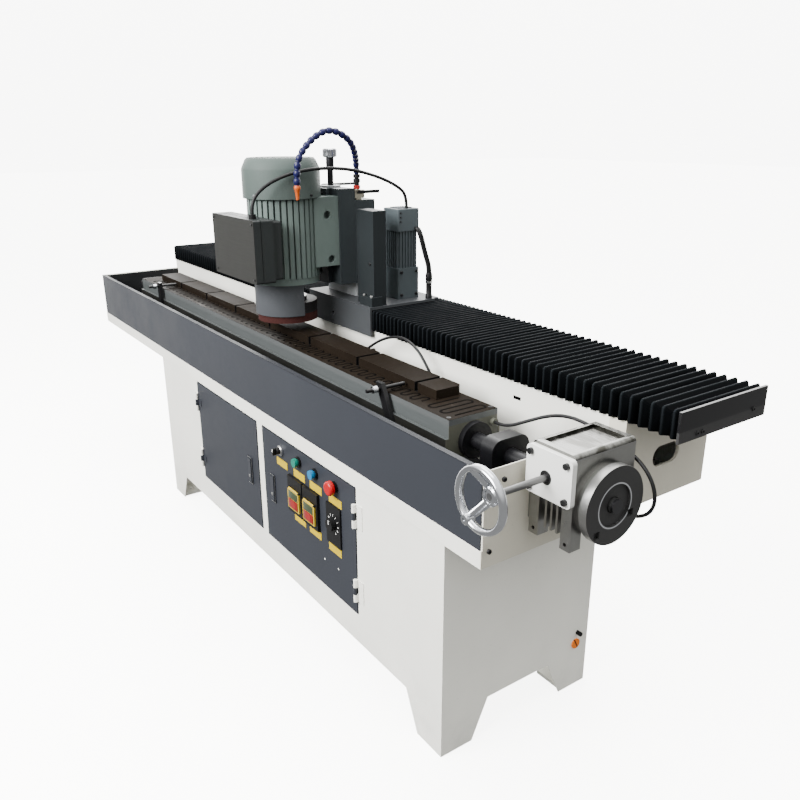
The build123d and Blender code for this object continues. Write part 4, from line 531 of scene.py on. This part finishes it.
def spun(shape, profile, steps, at=Matrix(), close=True):
    """Spins (radius, height) points round the local Z axis and places the ring at a matrix."""
    before = set(shape.verts)
    verts = [shape.verts.new((radius, 0, height)) for radius, height in profile]
    edges = [shape.edges.new(pair) for pair in zip(verts, verts[1:])]
    if close:
        edges.append(shape.edges.new((verts[-1], verts[0])))
    bmesh.ops.spin(shape, geom=verts + edges, cent=(0, 0, 0), axis=(0, 0, 1), angle=math.tau, steps=steps,
                   use_merge=True)
    bmesh.ops.remove_doubles(shape, verts=[v for v in shape.verts if v not in before], dist=1e-6)
    made = [v for v in shape.verts if v not in before]
    bmesh.ops.recalc_face_normals(shape, faces=list({f for v in made for f in v.link_faces}))
    bmesh.ops.transform(shape, matrix=at, verts=made)


def aimed(start, direction):
    """Matrix that puts local Z along a direction, from a start point."""
    turn = Vector(direction).to_track_quat("Z", "Y").to_matrix().to_4x4()
    return Matrix.Translation(start) @ turn


def bar(shape, size, at, edge=.0004):
    """A bar of a given size with rounded edges, centred at a matrix."""
    made = bmesh.ops.create_cube(shape, size=1)["verts"]
    bmesh.ops.scale(shape, vec=size, verts=made)
    edges = list({e for v in made for e in v.link_edges})
    rounded = bmesh.ops.bevel(shape, geom=edges, offset=edge, offset_type="OFFSET", affect="EDGES", segments=2,
                              profile=.5, material=-1)
    verts = {v for f in rounded["faces"] for v in f.verts}
    bmesh.ops.transform(shape, matrix=at, verts=list(verts))


def screw(shape, at, direction, radius=.005, high=.004):
    """A round screw head with a socket in it."""
    socket = radius * .5
    profile = [(0, high * .35), (socket, high * .35), (socket, high), (radius * .85, high), (radius, high * .8),
               (radius, -.001), (0, -.001)]
    spun(shape, profile, 20, aimed(at, direction), close=False)


def rivet(shape, at, direction, radius=.003):
    """A low domed rivet head."""
    profile = [(0, radius * .45), (radius * .5, radius * .38), (radius * .85, radius * .18), (radius, -.0005),
               (0, -.0005)]
    spun(shape, profile, 20, aimed(at, direction), close=False)


def route_curve(name, route, radius=0.0):
    """A NURBS curve whose control points are the route's own points."""
    curve = bpy.data.curves.new(name, "CURVE")
    curve.dimensions = "3D"
    spline = curve.splines.new("NURBS")
    spline.points.add(len(route) - 1)
    for point, spot in zip(spline.points, route):
        point.co = (*spot, 1)
    spline.order_u = 3
    spline.use_endpoint_u = True
    spline.resolution_u = 16
    curve.bevel_depth = radius
    curve.bevel_resolution = 5
    curve.use_fill_caps = radius > 0
    holder = bpy.data.objects.new(name + "_line", curve)
    bpy.context.scene.collection.objects.link(holder)
    bpy.context.view_layer.update()
    mesh = bpy.data.meshes.new_from_object(holder.evaluated_get(bpy.context.evaluated_depsgraph_get()))
    bpy.data.objects.remove(holder)
    bpy.data.curves.remove(curve)
    return mesh


def lead(name, route, radius):
    """A flexible lead, held at both ends."""
    return dressed(name, route_curve(name, route, radius), "cable_jacket", smooth=60)


def unsmooth(weight):
    """Where a smoothstep reaches a weight."""
    return .5 - math.sin(math.asin(1 - 2 * weight) / 3)


# Pieces
class GRINDER_OT_cords(bpy.types.Operator):
    """Motor cable, chuck leads and drive conduits"""
    bl_idname = "grinder.cords"
    bl_label = "Cables and leads"

    def execute(self, context):
        sizes = context.scene.grinder_sizes
        cable = lead("motor_cable_run", MOTOR_CABLE_ROUTE, sizes.cable)
        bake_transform(cable)
        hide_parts("motor_cable")
        long_lead = lead("long_chuck_lead", LONG_LEAD_ROUTE, sizes.lead)
        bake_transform(long_lead)
        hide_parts("chuck_leads")
        short_lead = lead("short_chuck_lead", SHORT_LEAD_ROUTE, sizes.lead)
        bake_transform(short_lead)
        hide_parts("chuck_leads")
        for side, route in zip(("front", "rear"), CONDUIT_ROUTES):
            conduit = lead(side + "_conduit", route, sizes.conduit)
            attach(conduit, "carriage")
            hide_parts("carriage_conduits")
        shape = bmesh.new()
        foot = Vector((.086, .321, .903))
        sleeve = [(0, 0), (.011, 0), (.011, .012), (.0095, .015), (.0095, .055), (.011, .058), (.011, .074),
                  (.0095, .082), (0, .082)]
        spun(shape, sleeve, 28, Matrix.Translation(foot), close=False)
        socket = piece("conduit_sleeve", shape, "cable_jacket")
        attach(socket, "carriage")
        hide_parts("carriage_conduits")
        shape = bmesh.new()
        spun(shape, [(.0096, 0), (.0112, .001), (.0112, .007), (.0096, .008)], 6, Matrix.Translation(foot + Vector((0, 0, .048))))
        nut = piece("conduit_nut", shape, "bright_steel", smooth=20)
        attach(nut, "carriage")
        return {"FINISHED"}


class GRINDER_OT_bellows(bpy.types.Operator):
    """Pleated way covers on both sides of the saddle, in lengths"""
    bl_idname = "grinder.bellows"
    bl_label = "Way covers"

    weights = (0, .045, .08, .14, .24, .38, .5, .62, .76, .86, .92, .955, 1)
    slack = .2

    def cover(self, side, fixed_x, moving_x, pleats, sizes):
        low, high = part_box("bellows_" + side)
        half, tall = (high.y - low.y) / 2, high.z - low.z
        middle = (low.y + high.y) / 2
        lengths = len(self.weights) - 1
        span = moving_x - fixed_x
        land = math.copysign(sizes.pleat_land / 2, span)

        def reach_at(fold):
            """Where a fold stands: the pleats near the bracket are drawn out further."""
            share = fold / (2 * pleats)
            return fixed_x + span * share * (1 + self.slack * (1 - share))

        def fold_of(part):
            inner = (self.weights[part] - self.weights[1]) / (self.weights[-2] - self.weights[1])
            share = (1 + inner * (lengths - 2)) / lengths
            return {0: 0, lengths: 2 * pleats}.get(part, round(2 * pleats * share / 2) * 2)

        for part in range(lengths):
            first, last = fold_of(part), fold_of(part + 1)
            rings = []
            for fold in range(first, last + 1):
                if fold % 2:
                    rings += [(reach_at(fold) - land, 0), (reach_at(fold) + land, 0)]
                else:
                    rings.append((reach_at(fold), sizes.pleat_fold))
            shape = self.pleated(rings, middle, half, low.z, tall, sizes.pleat_corner)
            made = piece(f"{side}_cover_{part + 1:02d}", shape, "bellows_cloth", smooth=4)
            wall = made.modifiers.new("Wall", "SOLIDIFY")
            wall.thickness = .0012
            wall.offset = 0
            ends = [unsmooth(w) for w in (self.weights[part], self.weights[part + 1])]
            near, far = reach_at(first), reach_at(last)
            reach = (far - near) / (ends[1] - ends[0])
            start = near - ends[0] * reach
            start + reach
            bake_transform(made)
            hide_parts("bellows_" + side)

    def pleated(self, rings, middle, half, foot, tall, corner):
        """An open arch drawn along X through rings of (x, inset)."""
        shape = bmesh.new()
        ridge = shape.verts.layers.float.new("ridge")
        outline = [(-half, 0), (-half, tall - corner), (corner - half, tall), (half - corner, tall),
                   (half, tall - corner), (half, 0)]
        verts = [shape.verts.new((0, y, z)) for y, z in outline]
        edges = [shape.edges.new(pair) for pair in zip(verts, verts[1:])]
        at, wide, high = 0, 1, 1
        for index, (x, inset) in enumerate(rings):
            if index:
                grown = bmesh.ops.extrude_edge_only(shape, edges=edges)["geom"]
                verts = [v for v in grown if isinstance(v, bmesh.types.BMVert)]
                edges = [e for e in grown if isinstance(e, bmesh.types.BMEdge)]
            new_wide, new_high = (half - inset) / half, (tall - inset) / tall
            bmesh.ops.scale(shape, vec=(1, new_wide / wide, new_high / high), verts=verts)
            bmesh.ops.translate(shape, vec=(x - at, 0, 0), verts=verts)
            for vert in verts:
                vert[ridge] = 0 if inset else 1
            at, wide, high = x, new_wide, new_high
        bmesh.ops.translate(shape, vec=(0, middle, foot), verts=shape.verts)
        bmesh.ops.recalc_face_normals(shape, faces=shape.faces)
        return shape

    def execute(self, context):
        sizes = context.scene.grinder_sizes
        low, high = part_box("bellows_right")
        self.cover("right", high.x, low.x, sizes.right_pleats, sizes)
        low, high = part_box("bellows_left")
        self.cover("left", low.x, high.x, sizes.left_pleats, sizes)
        return {"FINISHED"}


class GRINDER_OT_hose(bpy.types.Operator):
    """Beaded coolant hose with its nozzle"""
    bl_idname = "grinder.hose"
    bl_label = "Coolant hose"

    def execute(self, context):
        sizes = context.scene.grinder_sizes
        line = route_curve("hose_line", HOSE_ROUTE)
        path = [v.co.copy() for v in line.vertices]
        bpy.data.meshes.remove(line)
        runs = [(b - a).length for a, b in zip(path, path[1:])]
        total = sum(runs)

        def at(distance):
            for (a, b), run in zip(zip(path, path[1:]), runs):
                if distance <= run:
                    return a.lerp(b, distance / run)
                distance -= run
            return path[-1]

        pitch = total / sizes.beads
        r, neck = sizes.bead, sizes.bead_neck
        profile = [(neck * .6, 0), (neck, 0), (neck, pitch * .14), (r * .9, pitch * .2), (r, pitch * .36),
                   (r, pitch * .6), (r * .88, pitch * .8), (neck, pitch * .9), (neck, pitch), (neck * .6, pitch)]
        shape = bmesh.new()
        for bead in range(sizes.beads):
            start = at(bead * pitch)
            spun(shape, profile, 18, aimed(start, at((bead + 1) * pitch) - start))
        hose = piece("coolant_hose_beads", shape, "hose_plastic")
        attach(hose, "carriage")
        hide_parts("coolant_hose")
        tip = bmesh.new()
        end = Vector(HOSE_ROUTE[-1])
        drop = end.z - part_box("coolant_hose")[0].z
        spun(tip, [(.0035, 0), (.0075, 0), (.0095, .004), (.0095, .010), (.0075, .013), (.0045, drop), (.0028, drop)],
             24, aimed(end, (0, 0, -1)))
        nozzle = piece("coolant_nozzle", tip, "nozzle_plastic")
        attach(nozzle, "carriage")
        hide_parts("coolant_hose")
        2 * sizes.bead
        return {"FINISHED"}


class GRINDER_OT_handwheel(bpy.types.Operator):
    """Plated handwheel with an oval rim, three spokes and a crank boss"""
    bl_idname = "grinder.handwheel"
    bl_label = "Handwheel"

    def execute(self, context):
        shape = bmesh.new()
        axis_x, axis_z = 1.090, .780
        rim_y, rim_r, tube, rim_half = -.318, .061, .007, .009
        hub_front, hub_back, hub_r = -.299, -.271, .020
        spoke_r, first = .006, 237
        ring = [(rim_r + tube * math.cos(a), rim_half * math.sin(a)) for a in (math.tau * k / 20 for k in range(20))]
        spun(shape, ring, 72, aimed((axis_x, rim_y, axis_z), (0, 1, 0)))
        deep = hub_back - hub_front
        hub = [(.0071, .002), (.012, .002), (.013, 0), (hub_r - .003, 0), (hub_r, .003), (hub_r, deep - .003),
               (hub_r - .003, deep), (.0071, deep)]
        spun(shape, hub, 40, aimed((axis_x, hub_front, axis_z), (0, 1, 0)))
        for k in range(3):
            angle = math.radians(first + 120 * k)
            outward = Vector((math.cos(angle), 0, math.sin(angle)))
            start = Vector((axis_x, (hub_front + hub_back) / 2, axis_z)) + outward * (hub_r - .004)
            along = Vector((axis_x, rim_y, axis_z)) + outward * rim_r - start
            arm = [(0, 0), (spoke_r * 1.2, 0), (spoke_r, along.length * .35), (spoke_r * .85, along.length),
                   (0, along.length)]
            spun(shape, arm, 20, aimed(start, along) @ Matrix.Diagonal((.75, 1.6, 1, 1)), close=False)
        angle = math.radians(first)
        boss_at = (axis_x + rim_r * math.cos(angle), rim_y, axis_z + rim_r * math.sin(angle))
        half = .010
        boss = [(.004, -half), (.0095, -half), (.011, -half + .002), (.011, half - .002), (.0095, half), (.004, half)]
        spun(shape, boss, 32, aimed(boss_at, (0, 1, 0)))
        wheel = piece("plated_handwheel", shape, "chrome_plate")
        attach(wheel, "handwheel")
        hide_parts("handwheel")
        return {"FINISHED"}


class GRINDER_OT_cowl(bpy.types.Operator):
    """Pressed fan cowl with a coned shoulder and a ringed grille"""
    bl_idname = "grinder.cowl"
    bl_label = "Fan cowl"

    wall = .0018
    shoulder = .026
    flat_r = .103
    rings = 5
    groove = .0035

    def execute(self, context):
        low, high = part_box("fan_cowl")
        centre = (low + high) / 2
        radius, tall = (high.x - low.x) / 2, high.z - low.z
        cone = tall - self.shoulder - self.wall
        outer = [(radius - .0012, 0), (radius, .0012), (radius, cone - .006), (radius - .0015, cone),
                 (self.flat_r + .003, tall - .006), (self.flat_r, tall - .003)]
        step = (self.flat_r - .022) / self.rings
        for ring in range(self.rings):
            start = self.flat_r - .003 - step * ring
            outer += [(start, tall), (start - step * .55, tall), (start - step * .6, tall - self.groove),
                      (start - step * .95, tall - self.groove)]
        outer += [(.018, tall), (0, tall)]
        inner = [(0, tall - self.groove - self.wall), (self.flat_r - self.wall, tall - self.groove - self.wall),
                 (radius - self.wall, cone - .002), (radius - self.wall, 0)]
        shape = bmesh.new()
        spun(shape, outer + inner, 72, Matrix.Translation((centre.x, centre.y, low.z)))
        # The cowl takes a darker copy of the motor paint as painted shade.
        cowl = piece("pressed_cowl", shape, "cowl_shade_paint", smooth=28)
        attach(cowl, "head")
        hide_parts("fan_cowl")
        heads = bmesh.new()
        for turn in (200, 290, 20, 110):
            outward = Vector((math.cos(math.radians(turn)), math.sin(math.radians(turn)), 0))
            screw(heads, Vector((centre.x, centre.y, low.z + .010)) + outward * radius, outward, .004, .003)
        screws = piece("cowl_screws", heads, "black_steel")
        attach(screws, "head")
        return {"FINISHED"}


class GRINDER_OT_inlays(bpy.types.Operator):
    """Dark hairpin inlays and corner screws of the magnetic plate"""
    bl_idname = "grinder.inlays"
    bl_label = "Pole inlays"

    def meander(self, shape, x, near, far, leg, width, turns):
        """A ribbon that runs to and fro in Y, with a half turn between two runs."""
        verts = [shape.verts.new((x + side * width / 2, near, 0)) for side in (-1, 1)]
        edges = [shape.edges.new(verts)]
        reach = near - far - leg
        for turn in range(turns + 1):
            toward = 1 if turn % 2 else -1
            grown = bmesh.ops.extrude_edge_only(shape, edges=edges)["geom"]
            bmesh.ops.translate(shape, vec=(0, toward * reach, 0),
                                verts=[v for v in grown if isinstance(v, bmesh.types.BMVert)])
            edges = [e for e in grown if isinstance(e, bmesh.types.BMEdge)]
            if turn < turns:
                middle = (x + leg * (turn + .5), near if toward > 0 else near - reach, 0)
                bent = bmesh.ops.spin(shape, geom=edges, cent=middle, axis=(0, 0, 1), angle=-toward * math.pi,
                                      steps=10)["geom_last"]
                edges = [e for e in bent if isinstance(e, bmesh.types.BMEdge)]

    def execute(self, context):
        sizes = context.scene.grinder_sizes
        low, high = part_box("pole_plate")
        top = .791
        shape = bmesh.new()
        leg, width = sizes.inlay_pitch / 2, sizes.inlay_width
        self.meander(shape, -1.340, -.084, -.122, leg, width, int(1.96 / leg))
        self.meander(shape, .652, -.012, -.122, leg * 1.15, width, 4)
        bmesh.ops.translate(shape, vec=(0, 0, top + .0004), verts=shape.verts)
        bmesh.ops.recalc_face_normals(shape, faces=shape.faces)
        if sum(face.normal.z for face in shape.faces) < 0:
            bmesh.ops.reverse_faces(shape, faces=shape.faces)
        inlay = piece("pole_inlays", shape, "inlay_resin")
        wall = inlay.modifiers.new("Wall", "SOLIDIFY")
        wall.thickness = .0006
        wall.offset = -1
        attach(inlay, "chuck")
        heads = bmesh.new()
        for x in (low.x + .014, high.x - .014):
            for y in (low.y + .010, high.y - .010):
                screw(heads, (x, y, top), (0, 0, 1), .0055, .0012)
        screws = piece("pole_screws", heads, "black_steel")
        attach(screws, "chuck")
        return {"FINISHED"}


class GRINDER_OT_panel(bpy.types.Operator):
    """Small parts of the control door: windows, dial marks, pointers and rivets"""
    bl_idname = "grinder.panel"
    bl_label = "Control panel"

    def execute(self, context):
        for name in ("first_switch_flap", "second_switch_flap"):
            low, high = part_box(name)
            shape = bmesh.new()
            middle = (low.x + high.x) / 2
            bar(shape, (.054, .0016, .024), Matrix.Translation((middle, low.y + .0017, high.z - .019)), .0006)
            window = piece(name + "_window", shape, "window_plastic")
            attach(window, name)
            shape = bmesh.new()
            bar(shape, (.054, .0022, .027), Matrix.Translation((middle, low.y + .0012, low.z + .0175)), .0008)
            push = piece(name + "_push", shape, "push_plastic")
            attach(push, name)
        low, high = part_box("speed_knob")
        centre = Vector(((low.x + high.x) / 2, -.2521, (low.z + high.z) / 2))
        marks = bmesh.new()
        for step in range(11):
            turn = Matrix.Rotation(math.radians(-150 + 30 * step), 4, "Y")
            bar(marks, (.0012, .0006, .0065), Matrix.Translation(centre) @ turn @ Matrix.Translation((0, 0, .026)),
                .0001)
        scale = piece("dial_marks", marks, "white_print")
        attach(scale, "control_door")
        pointer = bmesh.new()
        bar(pointer, (.0022, .0008, .012), Matrix.Translation((centre.x, low.y, centre.z + .009)), .0002)
        hand = piece("dial_pointer", pointer, "white_print")
        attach(hand, "speed_knob")
        low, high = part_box("selector_knob")
        centre = Vector(((low.x + high.x) / 2, 0, (low.z + high.z) / 2))
        base, front = -.2531, low.y
        forward = Matrix.Rotation(math.radians(90), 4, "X")
        ring = bmesh.new()
        spun(ring, [(.0105, 0), (.0145, 0), (.0145, .002), (.0130, .0036), (.0112, .0036), (.0105, .003)], 32,
             Matrix.Translation((centre.x, base, centre.z)) @ forward)
        bezel = piece("selector_ring", ring, "bright_steel")
        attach(bezel, "control_door")
        grip = bmesh.new()
        reach = base - front
        spun(grip, [(0, 0), (.0100, 0), (.0100, reach * .45), (.0088, reach * .55), (0, reach * .55)], 32,
             Matrix.Translation((centre.x, base, centre.z)) @ forward)
        bar(grip, (.0075, reach * .5, .0200), Matrix.Translation((centre.x, base - reach * .75, centre.z)), .0016)
        knob = piece("selector_grip", grip, "black_plastic")
        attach(knob, "selector_knob")
        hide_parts("selector_knob")
        pointer = bmesh.new()
        bar(pointer, (.0030, .0008, .0080), Matrix.Translation((centre.x, front + .0002, centre.z + .0045)), .0002)
        hand = piece("selector_pointer", pointer, "white_print")
        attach(hand, "selector_knob")
        for side in ("left", "control"):
            low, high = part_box(side + "_latch")
            centre = (low + high) / 2
            half_x, half_z = high.x - centre.x + .0032, high.z - centre.z + .0032
            edge = bmesh.new()
            for x in (-half_x, half_x):
                bar(edge, (.0012, .0010, half_z * 2), Matrix.Translation((centre.x + x, -.2503, centre.z)), .0002)
            for z in (-half_z, half_z):
                bar(edge, (half_x * 2, .0010, .0016), Matrix.Translation((centre.x, -.2503, centre.z + z)), .0002)
            rim = piece(side + "_latch_rim", edge, "bright_steel")
            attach(rim, side + "_door")
            barrel = bmesh.new()
            spun(barrel, [(0, 0), (.0055, 0), (.0055, .0008), (.0045, .0014), (0, .0014)], 24,
                 Matrix.Translation((centre.x, low.y + .0002, centre.z - .018)) @ forward)
            lock = piece(side + "_latch_lock", barrel, "bright_steel")
            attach(lock, side + "_latch")
        heads = bmesh.new()
        for x, z in ((.3678, .2822), (.4422, .2866)):
            rivet(heads, (x, -.247, z), (0, -1, 0))
        rivets = piece("door_rivets", heads, "rivet_paint")
        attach(rivets, "control_door")
        return {"FINISHED"}


class GRINDER_OT_fasteners(bpy.types.Operator):
    """Screws of the drive, covers, brackets and terminal box"""
    bl_idname = "grinder.fasteners"
    bl_label = "Fasteners"

    def execute(self, context):
        heads = bmesh.new()
        low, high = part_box("terminal_box")
        for x in (low.x + .012, high.x - .012):
            for z in (low.z + .012, low.z + .170):
                screw(heads, (x, low.y, z), (0, -1, 0), .004, .002)
        box = piece("terminal_screws", heads, "black_steel")
        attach(box, "head")
        heads = bmesh.new()
        low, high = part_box("bellows_brackets")
        for y, z in ((.150, .838), (.168, .838), (.344, .849)):
            screw(heads, (high.x, y, z), (1, 0, 0), .005, .003)
        ends = piece("bracket_screws", heads, "black_steel")
        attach(ends, "base")
        heads = bmesh.new()
        for y, z in ((-.2072, .7693), (-.2399, .6201)):
            screw(heads, (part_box("trough_pan")[1].x, y, z), (1, 0, 0), .0055, .004)
        pan = piece("trough_screws", heads, "black_steel")
        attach(pan, "base")
        heads = bmesh.new()
        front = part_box("feed_drive_cover")[0].y + .013
        screw(heads, (.070, front, 1.030), (0, -1, 0), .0045, .003)
        low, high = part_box("drive_gearmotor")
        for z in (1.145, 1.158, 1.171):
            screw(heads, (high.x, low.y + .010, z), (1, 0, 0), .0028, .002)
        for y in (low.y + .012, high.y - .012):
            for z in (.916, .988):
                screw(heads, (high.x, y, z), (1, 0, 0), .005, .004)
        drive = piece("drive_screws", heads, "black_steel")
        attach(drive, "carriage")
        heads = bmesh.new()
        for x in (.045, .085):
            screw(heads, (x, .103, .931), (0, 0, 1), .005, .005)
        foot = piece("cover_foot_screws", heads, "bright_steel")
        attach(foot, "carriage")
        fins = bmesh.new()
        for index in range(6):
            bar(fins, (.050, .004, .004), Matrix.Translation((.009, .245 + .009 * index, 1.1840)), .001)
        grille = piece("drive_grille", fins, "grey_paint")
        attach(grille, "carriage")
        return {"FINISHED"}


class GRINDER_OT_finishes(bpy.types.Operator):
    """Finishes of the pieces carried over from the frame"""
    bl_idname = "grinder.finishes"
    bl_label = "Finishes"

    def execute(self, context):
        slots = {entry["node"]: entry["material_slot"] for entry in frame["record"]["subparts"]}
        for name, thing in frame["nodes"].items():
            if not thing.material_slots:
                raise RuntimeError(name + " has no material slot")
            for place in thing.material_slots:
                place.material = finish_of(slots[name])
        return {"FINISHED"}


class GRINDER_OT_stage(bpy.types.Operator):
    """Pale floor, soft studio light and the camera"""
    bl_idname = "grinder.stage"
    bl_label = "Stage"

    def lamp(self, context, name, at, aim, size, power):
        light = bpy.data.lights.new(name, "AREA")
        light.shape = "RECTANGLE"
        light.size, light.size_y = size
        light.energy = power
        made = bpy.data.objects.new(name, light)
        made.location = at
        made.rotation_euler = (Vector(aim) - Vector(at)).to_track_quat("-Z", "Y").to_euler()
        context.scene.collection.objects.link(made)

    def execute(self, context):
        scene = context.scene
        lens = bpy.data.cameras.new("viewpoint")
        lens.sensor_width = 36
        lens.lens = 34.718
        lens.clip_start = .05
        lens.clip_end = 100
        camera = bpy.data.objects.new("viewpoint", lens)
        camera.location = (2.0359, -1.1553, 1.4097)
        camera.rotation_euler = Euler([math.radians(a) for a in (70.7672, .1956, 54.9853)])
        scene.collection.objects.link(camera)
        scene.camera = camera
        shape = bmesh.new()
        bmesh.ops.create_grid(shape, x_segments=1, y_segments=1, size=30)
        mesh = bpy.data.meshes.new("floor")
        shape.to_mesh(mesh)
        shape.free()
        pale = Finish(bpy.data.materials.new("floor_finish"))
        pale.link((1, 1, .98), pale.shader.inputs["Emission Color"])
        pale.link(6, pale.shader.inputs["Emission Strength"])
        mesh.materials.append(pale.coated(Coat((.95, .95, .93), .9, 0, pale.noise(40) * .0001), .1))
        floor = bpy.data.objects.new("floor", mesh)
        floor.visible_diffuse = False
        floor.visible_glossy = False
        scene.collection.objects.link(floor)
        scene.world = bpy.data.worlds.new("studio")
        sky = Finish(scene.world, "Background")
        x, y, z = sky.axes("Generated")
        behind = (y * .57 - x * .82).ranged(.6, .9)
        light = .5 + z.ranged(.0, .8) * 2.6 * (1.05 - x.ranged(.0, .8) * .4) + behind * 8
        sky.link((1, 1, .985), sky.shader.inputs["Color"])
        sky.link(light, sky.shader.inputs["Strength"])
        self.lamp(context, "key", (.2, -3.7, 3.0), (0, 0, .6), (3.2, 2.2), 720)
        self.lamp(context, "top", (0, .4, 4.2), (0, 0, .8), (3.2, 2.0), 160)
        return {"FINISHED"}


class GRINDER_PT_sidebar(bpy.types.Panel):
    """Lists the pieces of the grinder and their sizes"""
    bl_idname = "GRINDER_PT_sidebar"
    bl_label = "Straight knife grinder"
    bl_space_type = "VIEW_3D"
    bl_region_type = "UI"
    bl_category = "Grinder"

    def draw(self, context):
        for maker in PIECES:
            self.layout.operator(maker.bl_idname)
        for group in (context.scene.grinder_sizes, context.scene.grinder_colours):
            column = self.layout.column()
            for key in group.__annotations__:
                column.prop(group, key)


PIECES = (GRINDER_OT_stage, GRINDER_OT_cords, GRINDER_OT_finishes, GRINDER_OT_bellows, GRINDER_OT_hose,
          GRINDER_OT_handwheel, GRINDER_OT_cowl, GRINDER_OT_inlays, GRINDER_OT_panel, GRINDER_OT_fasteners)
CLASSES = (GrinderColours, GrinderSizes, *PIECES, GRINDER_PT_sidebar)


def register():
    for kind in CLASSES:
        bpy.utils.register_class(kind)
    bpy.types.Scene.grinder_colours = PointerProperty(type=GrinderColours)
    bpy.types.Scene.grinder_sizes = PointerProperty(type=GrinderSizes)


def unregister():
    del bpy.types.Scene.grinder_sizes
    del bpy.types.Scene.grinder_colours
    for kind in reversed(CLASSES):
        bpy.utils.unregister_class(kind)


def main():
    register()
    for maker in PIECES:
        group, name = maker.bl_idname.split(".")
        getattr(getattr(bpy.ops, group), name)()


if __name__ == "__main__":
    main()
